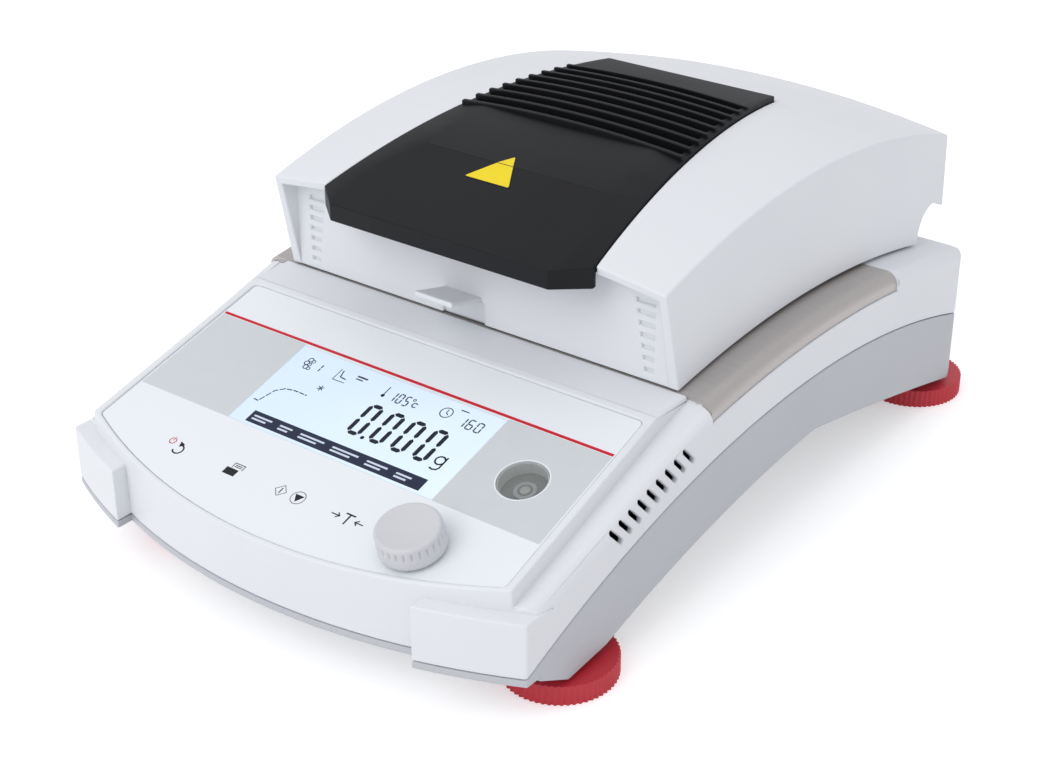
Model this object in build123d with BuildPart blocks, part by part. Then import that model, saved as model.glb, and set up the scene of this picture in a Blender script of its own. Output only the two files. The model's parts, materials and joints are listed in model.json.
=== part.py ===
"""Bench moisture analyzer: a balance base under a hinged halogen heating cover.

Millimetres, +X to the right, +Y to the back, +Z up, origin on the bench under the middle.
"""

from build123d import *
import os
from math import cos, pi, radians, sin, sqrt, tan

os.makedirs("parts", exist_ok=True)

# Base housing, seen from above
base_half_width = 101.2
nose_y = -158.5
bow_radius = 226.0
block_depth = 6.0
block_width = 34.7
block_inner_x = base_half_width - block_width
rear_corner_y = 145.5
rear_middle_y = 149.5
rear_corner_radius = 9.0
housing_wall = 2.6
parting_gap = 0.35

# Base housing, seen from the side
foot_height = 7.2
underside_z = 8.3
lip_bottom_z = 17.4
lip_top_z = 20.0
chin_back_y = -120.0
chin_front_y = -137.0
under_arch_start = (-100.0, 10.2)
under_arch_left = (-20.0, 27.8)
under_arch_top = (28.6, 32.3)
under_arch_right = (90.8, 19.7)
under_arch_end_y = 139.0
rear_low_z = 14.0
rear_top_z = 61.5
under_cover_gap = 0.9
parting_left = (-11.0, 53.7)
parting_rear_z = 34.9
block_top_z = 40.3
deck_front_y = -141.6
deck_edge_radius = 5.0

# Control panel, which leans up towards the back
panel_tilt = 16.5
panel_front_y = -137.5
panel_front_z = 47.6
overlay_length = 79.1
overlay_margin = 11.2
overlay_taper = 2.7
overlay_front_half = base_half_width - overlay_margin
overlay_rear_half = overlay_front_half - overlay_taper
overlay_bow = 19.5
overlay_thickness = 0.6
overlay_corner = 2.0
rim_width = 3.2
rim_rise = 0.7
deck_drop = 5.8
display_half_width = 45.8
display_low_v = 19.2
display_high_v = 60.3
display_border = 3.5
display_depth = 6.5
board_thickness = 1.6
level_x = 67.1
level_v = 39.7
level_radius = 8.8
level_depth = 7.0
knob_x = 54.0
knob_v = 0.0
knob_radius = 11.3
knob_height = 9.6
knob_gap = 0.5
knob_travel = 0.8
shaft_radius = 3.0
run_clearance = 0.05
key_first_x = -51.2
key_pitch = 25.7
key_names = ("power_key", "print_key", "start_key", "tare_key")
key_radius = 5.0
key_travel = 0.3
key_gap = 0.15
key_head = 1.0
switch_drop = 1.6
board_margin = 4.0
encoder_width = 13.0
encoder_height = 8.0
plunger_drop = 5.0
plunger_height = 1.2
plunger_room = 1.0
knob_cap = 3.0
knob_edge_radius = 1.2
knob_notches = 27
knob_notch_low = 4.9
knob_notch_height = 2.9
knob_notch_width = 1.0
knob_notch_depth = 0.6
side_vent_count = 9
side_vent_first_y = -94.9
side_vent_first_z = 47.9
side_vent_last_y = -54.9
side_vent_last_z = 59.0
side_vent_length = 9.0
side_vent_width = 1.8
side_vent_angle = -46.0

# Chamber plate and weighing parts
chamber_y = 24.0
bowl_radius = 60.0
plate_front_margin = 5.0
plate_rear_margin = 2.0
plate_front_y = chamber_y - bowl_radius - plate_front_margin
plate_rear_y = chamber_y + bowl_radius + plate_rear_margin
plate_front_z = 72.2
plate_top_y = 25.0
plate_top_z = 77.0
plate_rear_z = 73.4
plate_inset = 0.8
plate_half_width = base_half_width - plate_inset
plate_thickness = 1.4
plate_lip = 6.8
plate_edge_radius = 5.0
seat_gap = 0.3
bowl_depth = 10.0
bowl_thickness = 1.0
post_hole_radius = 9.0
shield_gap = 6.0
shield_flange = 6.0
shield_radius = bowl_radius - shield_gap
shield_height = 5.0
sheet = 0.8
pan_radius = 45.0
pan_height = 7.0
pan_wall = 0.4
pan_rim = 2.5
pan_floor_z = 73.2
handler_gap = 4.0
handler_radius = pan_radius + handler_gap
handler_ring = 3.0
handler_thickness = 2.0
handler_tab = 16.0
handler_leg = 5.0
handler_leg_gap = 1.0
pan_lift = 8.0
post_radius = 5.0
cell_half_width = 11.0
cell_front_y = -40.0
cell_rear_y = 36.0
cell_low_z = 41.0
cell_high_z = 57.0
cell_hole_radius = 5.5
cell_hole_reach = 12.0
cell_slit = 2.0
cell_seat = 20.0
mount_height = 4.0
mount_margin = 4.0
post_height = 3.0
post_flange = 2.0
support_arm = 38.0
support_arm_width = 6.0
support_thickness = 1.4

# Cover
cover_margin = 13.7
cover_taper = 1.8
cover_overlap = 0.6
cover_lean = 8.0
cover_half_low = base_half_width - cover_margin
cover_half_high = cover_half_low - cover_taper
cover_front_y = plate_front_y - cover_overlap
cover_front_top_y = cover_front_y - cover_lean
cover_rear_y = 147.5
cover_front_z = 72.8
cover_mid_z = 78.2
cover_rear_z = 67.4
cover_arch_y = 43.0
cover_arc_radius = 330.0
cover_arc_y = 44.0
cover_edge_top_z = 123.6
cover_crown = 7.0
cover_wall = 2.5
front_tip_z = 109.5
front_rail = 3.4
louvre_count = 7
louvre_margin = 8.7
louvre_outer_x = cover_half_high - louvre_margin
louvre_top_z = 101.4
louvre_pitch = 4.1
louvre_height = 1.5
louvre_long = 7.4
louvre_short = 3.6
louvre_depth = 1.3
tab_x = -4.2
tab_half_width = 8.5
tab_reach = 16.4
tab_tip_y = cover_front_y - tab_reach
tab_root_z = 83.5
tab_tip_z = 87.5
tab_thickness = 2.3
tab_notch_half = 9.4

# Hinge
hinge_y = 139.5
hinge_z = 69.0
hinge_notch_radius = 12.0
hinge_pin_radius = 2.0
hinge_margin = 25.5
hinge_x = cover_half_low - hinge_margin
hinge_leaf = 4.0
hinge_leaf_gap = 0.5
hinge_eye_radius = 4.5
hinge_foot = 12.0
hinge_foot_thickness = 2.0
ear_overlap = 1.0
ear_slope = 0.72
overhang_z = 77.4

# Grille on the cover
grille_margin = 26.4
grille_taper = 20.7
grille_nose_taper = 11.3
grille_overhang = 2.0
grille_nose_reach = 9.6
grille_front_half = cover_half_high - grille_margin
grille_rear_half = grille_front_half - grille_taper
grille_nose_half = grille_front_half - grille_nose_taper
grille_front_y = cover_front_top_y - grille_overhang
grille_nose_y = grille_front_y - grille_nose_reach
grille_lip_z = 105.8
grille_brow_z = 112.3
grille_brow_length = 41.2
grille_brow_back_y = grille_nose_y + grille_brow_length
grille_length = 155.2
grille_back_y = grille_nose_y + grille_length
grille_fold_gap = 0.6
grille_fold_x = grille_rear_half - grille_fold_gap
grille_rise = 1.8
grille_thickness = 2.2
grille_skirt = 3.0
grille_gap = 0.3
rib_count = 9
rib_front_y = 14.9
rib_rear_y = 70.0
rib_thickness = 1.8
rib_rise = 2.4
rib_margin = 3.0
rib_end = 0.5
screen_thickness = 0.8
screen_margin = 2.0

# Heater in the cover
frame_low_z = 92.0
frame_thickness = 2.0
frame_gap = 0.3
glass_margin = 4.0
glass_radius = bowl_radius - glass_margin
glass_thickness = 3.0
glass_ledge = 3.0
retainer_width = 6.0
retainer_thickness = 1.0
lamp_margin = 16.0
lamp_radius = glass_radius - lamp_margin
lamp_tube_radius = 4.5
lamp_lift = 5.0
lamp_arc = 340.0
socket_depth = 9.0
reflector_height = 14.0
reflector_flange = 4.0
reflector_slope = 10.0
reflector_top_radius = glass_radius - reflector_slope
sensor_radius = 2.0
sensor_drop = 7.0
sensor_flange = 5.0
sensor_flange_height = 2.0
sensor_hole_gap = 0.3

# Feet
foot_radius = 19.85
foot_flutes = 60
flute_depth = 0.75
front_foot_margin = 12.7
front_left_foot_margin = 35.2
rear_foot_margin = 15.7
front_foot_x = base_half_width - front_foot_margin
front_foot_y = -108.0
front_left_foot_x = front_left_foot_margin - base_half_width
front_left_foot_y = -115.0
rear_foot_x = base_half_width - rear_foot_margin
rear_foot_y = 138.6
stud_radius = 4.0
stud_height = 13.0
insert_radius = 6.0
insert_wall = 2.6
insert_top_z = 22.0

# Connections on the back
socket_z = 23.5
socket_fit = 0.15
socket_inset = 1.2
inlet_margin = 43.2
inlet_x = inlet_margin - base_half_width
inlet_width = 28.0
inlet_height = 17.0
inlet_length = 24.0
inlet_wall = 2.0
inlet_depth = 16.0
inlet_pin = 2.0
inlet_pin_pitch = 7.0
inlet_pin_inset = 3.0
serial_x = 8.0
serial_width = 31.0
serial_height = 12.0
serial_length = 12.0
serial_wall = 2.6
serial_depth = 6.0
usb_x = 46.0
usb_width = 12.0
usb_height = 11.0
usb_length = 16.0
usb_wall = 1.6
usb_depth = 9.0
board_middle_y = 94.0
board_low_z = 36.0
board_half_width = 65.0
board_depth = 56.0
board_post_radius = 3.0
board_post_inset = 5.0

# Screws
screw_radius = 1.5
screw_head_radius = 2.8
screw_head_height = 2.0
screw_length = 8.0
screw_inset = 7.0
boss_radius = 4.0
boss_hole_top_z = frame_low_z + screw_length + 1.0

tilt = radians(panel_tilt)
panel = Plane(
    origin=(0, panel_front_y, panel_front_z),
    x_dir=(1, 0, 0),
    z_dir=(0, -sin(tilt), cos(tilt)),
)
bow_centre_y = nose_y + bow_radius
far = 400.0
ahead_y = nose_y - 2 * block_depth


def panel_z(y):
    """Height of the overlay's face over a point of the bench."""
    return panel_front_z + (y - panel_front_y) * tan(tilt)


def bow_y(x, grow=0.0):
    """Front of the nose at a distance from the middle, grown outwards for the blocks."""
    return bow_centre_y - sqrt((bow_radius + grow) ** 2 - x**2)


def deck_z(y):
    """Height of the deck beside the panel."""
    return panel_z(y) - deck_drop


def finish(piece, name):
    """Label a finished piece and write its STEP file."""
    piece.label = name
    export_step(piece, f"parts/{name}.step")


def panel_slab(low, high):
    """Slab between two heights over the overlay's face."""
    with BuildPart() as slab:
        with BuildSketch(panel.offset(low)):
            Rectangle(far, far)
        extrude(amount=high - low)
    return slab.part


def below_parting(shift):
    """Everything below the arched parting line, moved up by a shift."""
    with BuildPart() as lower:
        with BuildSketch(Plane.YZ):
            with BuildLine():
                front = (deck_front_y, lip_top_z + shift)
                rear = (rear_corner_y, parting_rear_z + shift)
                Line((-far, lip_top_z + shift), front)
                ThreePointArc(front, (parting_left[0], parting_left[1] + shift), rear)
                Line(rear, (far, parting_rear_z + shift))
                Polyline((far, parting_rear_z + shift), (far, -far), (-far, -far), (-far, lip_top_z + shift))
            make_face()
        extrude(amount=far, both=True)
    return lower.part


def base_form(inset):
    """Outer form of the base, or its hollow when inset by the wall."""
    with BuildPart() as form:
        with BuildSketch(Plane.YZ):
            with BuildLine():
                deck_back = (plate_front_y, deck_z(plate_front_y))
                valley = (hinge_y - hinge_notch_radius, cover_rear_z - under_cover_gap)
                rear_top = (rear_middle_y, rear_top_z)
                rear_low = (rear_middle_y, rear_low_z)
                rear_under = (under_arch_end_y, underside_z)
                plate_front = (plate_front_y, plate_front_z - plate_thickness)
                Polyline((ahead_y, deck_z(ahead_y)), deck_back, plate_front)
                ThreePointArc(
                    plate_front,
                    (plate_top_y, plate_top_z - plate_thickness),
                    (plate_rear_y, plate_rear_z - plate_thickness),
                )
                Line((plate_rear_y, plate_rear_z - plate_thickness), (plate_rear_y, plate_rear_z))
                ThreePointArc((plate_rear_y, plate_rear_z), valley, rear_top)
                Polyline(rear_top, rear_low, rear_under)
                ThreePointArc(rear_under, under_arch_right, under_arch_top)
                ThreePointArc(under_arch_top, under_arch_left, under_arch_start)
                Polyline(
                    under_arch_start,
                    (chin_back_y, underside_z),
                    (chin_front_y, lip_bottom_z),
                    (ahead_y, lip_bottom_z),
                    (ahead_y, deck_z(ahead_y)),
                )
            make_face()
            offset(amount=-inset, kind=Kind.INTERSECTION)
        extrude(amount=base_half_width - inset, both=True)
        if inset == 0:
            along_deck = Axis((0, 0, 0), (0, cos(tilt), sin(tilt)))
            fillet(form.edges().filter_by(along_deck), deck_edge_radius)
            arcs = form.edges().filter_by(GeomType.CIRCLE).filter_by_position(Axis.Z, rear_top_z, far)
            fillet(arcs.filter_by_position(Axis.Y, plate_rear_y, far), deck_edge_radius)
            fillet(form.edges().filter_by(Axis.X).sort_by(Axis.Y)[-1], deck_edge_radius)
        with BuildSketch(Plane.XY):
            with BuildLine():
                half = base_half_width - inset
                front_y = bow_y(base_half_width) + inset
                rear_y = rear_corner_y - inset
                Line((half, front_y), (half, rear_y))
                ThreePointArc((half, rear_y), (0, rear_middle_y - inset), (-half, rear_y))
                Line((-half, rear_y), (-half, front_y))
                ThreePointArc((-half, front_y), (0, nose_y + inset), (half, front_y))
            plan = make_face()
            fillet(plan.vertices().group_by(Axis.Y)[-1], rear_corner_radius - inset)
        extrude(amount=far, mode=Mode.INTERSECT)
    return form.part


def panel_form(inset):
    """Raised frame round the overlay, or its hollow when inset by the wall."""
    side = rim_width - inset
    rear_v = overlay_length + rim_width - inset
    with BuildPart() as form:
        with BuildSketch(Plane.XY):
            with BuildLine():
                half_front = overlay_front_half + side
                half_rear = overlay_rear_half + side
                rear_y = panel_front_y + rear_v * cos(tilt)
                left = (-half_front, bow_y(half_front) + inset)
                right = (half_front, bow_y(half_front) + inset)
                ThreePointArc(left, (0, nose_y + inset), right)
                Polyline(right, (half_rear, rear_y), (-half_rear, rear_y), left)
            make_face()
        extrude(amount=far)
        add(panel_slab(-2 * deck_drop, rim_rise - inset), mode=Mode.INTERSECT)
    return form.part


def block_form(inset):
    """The two raised blocks at the front corners, or their hollows."""
    with BuildPart() as form:
        with BuildSketch(Plane.XY.offset(lip_bottom_z + inset)):
            with BuildLine():
                outer = (base_half_width - inset, bow_y(base_half_width, block_depth) + inset)
                inner = (block_inner_x + inset, bow_y(block_inner_x, block_depth) + inset)
                middle_x = (base_half_width + block_inner_x) / 2
                middle = (middle_x, bow_y(middle_x, block_depth) + inset)
                back_y = bow_y(base_half_width) + block_depth
                ThreePointArc(inner, middle, outer)
                Polyline(outer, (outer[0], back_y), (inner[0], back_y), inner)
            make_face()
            mirror(about=Plane.YZ)
        extrude(amount=block_top_z - lip_bottom_z - 2 * inset)
    return form.part


def shelf_form(inset):
    """Flat shelf from the panel frame back to the chamber plate, or its hollow."""
    with BuildPart() as form:
        with BuildSketch(Plane.YZ):
            with BuildLine():
                shelf_y = panel_front_y + (overlay_length + rim_width) * cos(tilt)
                front = (shelf_y, panel_z(shelf_y) + rim_rise - inset)
                back = (plate_front_y - inset, plate_front_z - inset)
                Polyline(
                    front,
                    back,
                    (back[0], deck_z(back[0]) - deck_drop),
                    (front[0], deck_z(front[0]) - deck_drop),
                    front,
                )
            make_face()
        extrude(amount=overlay_rear_half + rim_width - inset, both=True)
    return form.part


with BuildPart() as base_outer:
    add(base_form(0))
    add(panel_form(0))
    add(block_form(0))
    add(shelf_form(0))

with BuildPart() as base_hollow:
    add(base_form(housing_wall))
    add(panel_form(housing_wall + overlay_thickness))
    add(block_form(housing_wall))
    add(shelf_form(housing_wall))


def plate_arch(drop, thickness, half, front, rear):
    """Curved slab that follows the chamber plate's arch, some way below its top."""
    with BuildPart() as slab:
        with BuildSketch(Plane.YZ):
            with BuildLine():
                tops = [
                    (plate_front_y, plate_front_z - drop),
                    (plate_top_y, plate_top_z - drop),
                    (plate_rear_y, plate_rear_z - drop),
                ]
                lows = [(y, z - thickness) for y, z in tops]
                ThreePointArc(*tops)
                ThreePointArc(*lows)
                Line(tops[0], lows[0])
                Line(tops[2], lows[2])
            make_face()
        extrude(amount=half, both=True)
        with Locations((0, (front + rear) / 2, plate_top_z)):
            Box(far, rear - front, far, mode=Mode.INTERSECT)
    return slab.part


def plate_core(gap):
    """What the chamber plate wraps round: its arch with rounded shoulders."""
    with BuildPart() as core:
        add(plate_arch(plate_thickness, far / 10, plate_half_width - plate_thickness - gap, -far, far))
        shoulders = core.edges().filter_by(GeomType.CIRCLE).group_by(Axis.Z)[-1]
        fillet(shoulders, plate_edge_radius - plate_thickness)
    return core.part


def cylinder_at(plane, x, y, radius, low, high):
    """Upright cylinder on a plane, between two heights over it."""
    with BuildPart() as rod:
        with BuildSketch(plane.offset(low)):
            with Locations((x, y)):
                Circle(radius)
        extrude(amount=high - low)
    return rod.part


def box_at(plane, x, y, width, depth, low, high):
    """Upright box on a plane, between two heights over it."""
    with BuildPart() as block:
        with BuildSketch(plane.offset(low)):
            with Locations((x, y)):
                Rectangle(width, depth)
        extrude(amount=high - low)
    return block.part


def cross_rod(x, y, z, radius, length):
    """Cylinder along X, centred on a point."""
    with BuildPart() as rod:
        with BuildSketch(Plane.YZ.offset(x)):
            with Locations((y, z)):
                Circle(radius)
        extrude(amount=length / 2, both=True)
    return rod.part


def foot_places():
    """Centres of the four levelling feet on the bench."""
    return {
        "front_right": (front_foot_x, front_foot_y),
        "front_left": (front_left_foot_x, front_left_foot_y),
        "rear_right": (rear_foot_x, rear_foot_y),
        "rear_left": (-rear_foot_x, rear_foot_y),
    }


def grip_outline(place):
    """Zigzag outline of a levelling foot's grip."""
    points = []
    for i in range(2 * foot_flutes):
        reach = foot_radius if i % 2 else foot_radius - flute_depth
        angle = pi * i / foot_flutes
        points.append((place[0] + reach * cos(angle), place[1] + reach * sin(angle)))
    return points


skin = overlay_thickness + housing_wall
display_middle_v = (display_low_v + display_high_v) / 2
display_height = display_high_v - display_low_v
key_places = [(key_first_x + key_pitch * i, knob_v) for i in range(len(key_names))]


def overlay_outline(grow, low, high):
    """Outline of the control overlay, extruded between two heights over its face."""
    with BuildPart() as sheet_form:
        with BuildSketch(panel.offset(low)):
            with BuildLine():
                left = (-overlay_front_half, 0)
                right = (overlay_front_half, 0)
                left_rear = (-overlay_rear_half, overlay_length)
                right_rear = (overlay_rear_half, overlay_length)
                ThreePointArc(left, (0, -overlay_bow), right)
                Polyline(right, right_rear, left_rear, left)
            outline = make_face()
            fillet(outline.vertices(), overlay_corner)
            if grow:
                offset(amount=grow)
        extrude(amount=high - low)
    return sheet_form.part


def side_vents():
    """Slanted slots through both side walls."""
    with BuildPart() as slots:
        for i in range(side_vent_count):
            share = i / (side_vent_count - 1)
            y = side_vent_first_y + share * (side_vent_last_y - side_vent_first_y)
            z = side_vent_first_z + share * (side_vent_last_z - side_vent_first_z)
            with BuildSketch(Plane.YZ):
                with Locations((y, z)):
                    SlotOverall(side_vent_length, side_vent_width, rotation=side_vent_angle)
            extrude(amount=far, both=True)
        Box(2 * (base_half_width - 2 * housing_wall), far * 2, far, mode=Mode.SUBTRACT)
    return slots.part


frame_top_z = frame_low_z + frame_thickness
frame_half = cover_half_high - cover_wall - frame_gap
frame_front = cover_front_y + cover_wall + frame_gap
frame_rear = cover_rear_y - cover_wall - frame_gap
frame_y = (frame_front + frame_rear) / 2
frame_places = [
    (side * (frame_half - screw_inset), y)
    for side in (-1, 1)
    for y in (frame_front + screw_inset, frame_rear - screw_inset)
]

# White upper housing: nose, deck, panel frame, corner blocks and rear shoulder
with BuildPart() as upper_housing:
    add(base_outer.part)
    add(base_hollow.part, mode=Mode.SUBTRACT)
    add(below_parting(parting_gap), mode=Mode.SUBTRACT)
    add(overlay_outline(seat_gap, -overlay_thickness, rim_rise * 2), mode=Mode.SUBTRACT)
    add(
        box_at(panel, 0, display_middle_v, 2 * display_half_width, display_height, -far / 8, rim_rise),
        mode=Mode.SUBTRACT,
    )
    add(cylinder_at(panel, level_x, level_v, level_radius, -far / 8, 0), mode=Mode.SUBTRACT)
    add(cylinder_at(panel, knob_x, knob_v, shaft_radius + seat_gap, -far / 8, 0), mode=Mode.SUBTRACT)
    for place in key_places:
        add(cylinder_at(panel, *place, key_radius + run_clearance, -far / 8, 0), mode=Mode.SUBTRACT)
    add(side_vents(), mode=Mode.SUBTRACT)
    with BuildPart(mode=Mode.PRIVATE) as lip_cut:
        add(plate_arch(-plate_thickness, plate_lip + plate_thickness + seat_gap, far, -far, far))
        add(plate_core(seat_gap), mode=Mode.SUBTRACT)
    add(lip_cut.part, mode=Mode.SUBTRACT)
    add(
        cylinder_at(Plane.XY, 0, chamber_y, bowl_radius + seat_gap, underside_z + housing_wall, far),
        mode=Mode.SUBTRACT,
    )
    for x in (-hinge_x, hinge_x):
        with Locations((x, hinge_y, hinge_z)):
            Box(hinge_leaf + 2 * seat_gap, 2 * (hinge_eye_radius + seat_gap), far / 10, mode=Mode.SUBTRACT)
finish(upper_housing.part, "upper_housing")

# Grey lower housing with the arched underside, foot bosses and rear sockets
with BuildPart() as lower_housing:
    add(base_outer.part)
    add(base_hollow.part, mode=Mode.SUBTRACT)
    add(below_parting(0), mode=Mode.INTERSECT)
    for place in foot_places().values():
        add(cylinder_at(Plane.XY, *place, insert_radius + insert_wall, underside_z, insert_top_z))
    add(base_outer.part, mode=Mode.INTERSECT)
    for place in foot_places().values():
        add(cylinder_at(Plane.XY, *place, insert_radius, 0, far), mode=Mode.SUBTRACT)
    for x, width, height in (
        (inlet_x, inlet_width, inlet_height),
        (serial_x, serial_width, serial_height),
        (usb_x, usb_width, usb_height),
    ):
        with Locations((x, rear_middle_y, socket_z)):
            Box(width + 2 * socket_fit, 6 * housing_wall, height + 2 * socket_fit, mode=Mode.SUBTRACT)
    cell_foot_y = cell_front_y + cell_seat / 2
    floor_z = underside_z + housing_wall
    add(box_at(Plane.XY, 0, cell_foot_y, 2 * cell_half_width, cell_seat, floor_z, cell_low_z - mount_height))
    add(base_outer.part, mode=Mode.INTERSECT)
finish(lower_housing.part, "lower_housing")

with BuildPart() as foot_inserts:
    for place in foot_places().values():
        with BuildSketch(Plane.XY.offset(underside_z + housing_wall)):
            with Locations(place):
                Circle(insert_radius - run_clearance)
                Circle(stud_radius + run_clearance, mode=Mode.SUBTRACT)
        extrude(amount=insert_top_z - underside_z - housing_wall)
finish(foot_inserts.part, "foot_inserts")

for foot_name, place in foot_places().items():
    with BuildPart() as foot:
        with BuildSketch(Plane.XY):
            with BuildLine():
                Polyline(*grip_outline(place), close=True)
            make_face()
        extrude(amount=foot_height)
        add(cylinder_at(Plane.XY, *place, stud_radius, foot_height, foot_height + stud_height))
    finish(foot.part, f"{foot_name}_foot")

# Control panel
with BuildPart() as control_overlay:
    add(overlay_outline(0, -overlay_thickness, 0))
    add(
        box_at(panel, 0, display_middle_v, 2 * display_half_width, display_height, -far, far),
        mode=Mode.SUBTRACT,
    )
    add(cylinder_at(panel, level_x, level_v, level_radius, -far, far), mode=Mode.SUBTRACT)
    add(cylinder_at(panel, knob_x, knob_v, shaft_radius + seat_gap, -far, far), mode=Mode.SUBTRACT)
finish(control_overlay.part, "control_overlay")

with BuildPart() as display_lens:
    lens_width = 2 * (display_half_width - socket_fit)
    lens_height = display_height - 2 * socket_fit
    add(box_at(panel, 0, display_middle_v, lens_width, lens_height, -skin, 0))
finish(display_lens.part, "display_lens")

with BuildPart() as display_module:
    module_width = 2 * (display_half_width + display_border)
    module_height = display_height + 2 * display_border
    add(box_at(panel, 0, display_middle_v, module_width, module_height, -skin - display_depth, -skin))
    fillet(display_module.edges().filter_by(Axis(panel.origin, panel.z_dir)), overlay_corner / 2)
finish(display_module.part, "display_module")

with BuildPart() as display_board:
    board_top = -skin - display_depth
    board_width = module_width + 2 * board_margin
    board_height = module_height + 2 * board_margin
    add(box_at(panel, 0, display_middle_v, board_width, board_height, board_top - board_thickness, board_top))
finish(display_board.part, "display_board")

with BuildPart() as level_window:
    add(cylinder_at(panel, level_x, level_v, level_radius - socket_fit, -overlay_thickness, 0))
finish(level_window.part, "level_window")

with BuildPart() as level_vial:
    add(cylinder_at(panel, level_x, level_v, level_radius - socket_fit, -level_depth, -overlay_thickness))
finish(level_vial.part, "level_vial")

key_board_top = -skin - key_travel - switch_drop
key_bottom = -skin - key_head
with BuildPart() as keypad_board:
    keypad_width = key_pitch * len(key_names) + key_radius
    keypad_middle = key_first_x + key_pitch * (len(key_names) - 1) / 2
    key_board_low = key_board_top - board_thickness
    add(box_at(panel, keypad_middle, knob_v, keypad_width, 3 * key_radius, key_board_low, key_board_top))
finish(keypad_board.part, "keypad_board")

with BuildPart() as key_switches:
    for place in key_places:
        add(box_at(panel, *place, key_radius, key_radius, key_board_top, key_bottom - key_travel - key_gap))
finish(key_switches.part, "key_switches")

for key_name, place in zip(key_names, key_places):
    with BuildPart() as key:
        add(cylinder_at(panel, *place, key_radius, key_bottom, -overlay_thickness - key_gap))
    finish(key.part, key_name)

encoder_low = -skin - encoder_height
plunger_high = -skin - plunger_drop
plunger_low = plunger_high - plunger_height
with BuildPart() as encoder_body:
    add(box_at(panel, knob_x, knob_v, encoder_width, encoder_width, encoder_low, -skin))
    add(
        cylinder_at(panel, knob_x, knob_v, shaft_radius + seat_gap, plunger_low - plunger_room, 0),
        mode=Mode.SUBTRACT,
    )
finish(encoder_body.part, "encoder_body")

with BuildPart() as encoder_plunger:
    plunger_radius = shaft_radius + seat_gap - run_clearance
    add(cylinder_at(panel, knob_x, knob_v, plunger_radius, plunger_low, plunger_high))
finish(encoder_plunger.part, "encoder_plunger")

with BuildPart() as encoder_shaft:
    add(cylinder_at(panel, knob_x, knob_v, shaft_radius, plunger_high, knob_height - knob_cap))
finish(encoder_shaft.part, "encoder_shaft")

with BuildPart() as control_knob:
    add(cylinder_at(panel, knob_x, knob_v, knob_radius, knob_gap + knob_travel, knob_height))
    top_ring = control_knob.edges().filter_by(GeomType.CIRCLE).sort_by(Axis(panel.origin, panel.z_dir))[-1]
    fillet(top_ring, knob_edge_radius)
    with BuildSketch(panel.offset(knob_notch_low)):
        with Locations((knob_x, knob_v)):
            with PolarLocations(knob_radius, knob_notches):
                Rectangle(2 * knob_notch_depth, knob_notch_width)
    extrude(amount=knob_notch_height, mode=Mode.SUBTRACT)
    add(
        cylinder_at(panel, knob_x, knob_v, shaft_radius + run_clearance / 2, 0, knob_height - knob_cap),
        mode=Mode.SUBTRACT,
    )
finish(control_knob.part, "control_knob")

# Chamber plate, bowl and what stands in it
with BuildPart() as chamber_plate:
    add(plate_arch(0, plate_lip, plate_half_width, plate_front_y, plate_rear_y))
    arcs = chamber_plate.edges().filter_by(GeomType.CIRCLE)
    fillet(arcs.filter_by_position(Axis.Z, plate_front_z, far), plate_edge_radius)
    add(plate_core(0), mode=Mode.SUBTRACT)
    add(cylinder_at(Plane.XY, 0, chamber_y, bowl_radius, 0, far), mode=Mode.SUBTRACT)
finish(chamber_plate.part, "chamber_plate")

bowl_floor_z = plate_top_z - bowl_depth
with BuildPart() as chamber_bowl:
    bowl_outer = bowl_radius - socket_fit
    add(cylinder_at(Plane.XY, 0, chamber_y, bowl_outer, bowl_floor_z - bowl_thickness, plate_top_z))
    add(
        cylinder_at(Plane.XY, 0, chamber_y, bowl_outer - bowl_thickness, bowl_floor_z, far),
        mode=Mode.SUBTRACT,
    )
    add(cylinder_at(Plane.XY, 0, chamber_y, post_hole_radius, 0, far), mode=Mode.SUBTRACT)
    add(plate_arch(-far, far, far, -far, far), mode=Mode.SUBTRACT)
finish(chamber_bowl.part, "chamber_bowl")

with BuildPart() as draft_shield:
    with BuildSketch(Plane.XZ.offset(-chamber_y)):
        with BuildLine():
            Polyline(
                (shield_radius - shield_flange, bowl_floor_z),
                (shield_radius, bowl_floor_z),
                (shield_radius, bowl_floor_z + shield_height),
                (shield_radius - sheet, bowl_floor_z + shield_height),
                (shield_radius - sheet, bowl_floor_z + sheet),
                (shield_radius - shield_flange, bowl_floor_z + sheet),
                (shield_radius - shield_flange, bowl_floor_z),
            )
        make_face()
    revolve(axis=Axis((0, chamber_y, 0), (0, 0, 1)))
finish(draft_shield.part, "draft_shield")

with BuildPart() as pan_support:
    post_top = cell_high_z + post_height
    add(cylinder_at(Plane.XY, 0, chamber_y, post_radius, post_top, pan_floor_z))
    with BuildSketch(Plane.XY.offset(pan_floor_z - support_thickness)):
        with Locations((0, chamber_y)):
            with PolarLocations(support_arm / 2, 3, start_angle=90):
                Rectangle(support_arm, support_arm_width)
    extrude(amount=support_thickness)
finish(pan_support.part, "pan_support")

with BuildPart() as sample_pan:
    pan_top = pan_floor_z + pan_height
    with BuildSketch(Plane.XZ.offset(-chamber_y)):
        with BuildLine():
            Polyline(
                (0, pan_floor_z),
                (pan_radius, pan_floor_z),
                (pan_radius, pan_top - pan_wall),
                (pan_radius + pan_rim, pan_top - pan_wall),
                (pan_radius + pan_rim, pan_top),
                (pan_radius - pan_wall, pan_top),
                (pan_radius - pan_wall, pan_floor_z + pan_wall),
                (0, pan_floor_z + pan_wall),
                (0, pan_floor_z),
            )
        make_face()
    revolve(axis=Axis((0, chamber_y, 0), (0, 0, 1)))
finish(sample_pan.part, "sample_pan")

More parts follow.
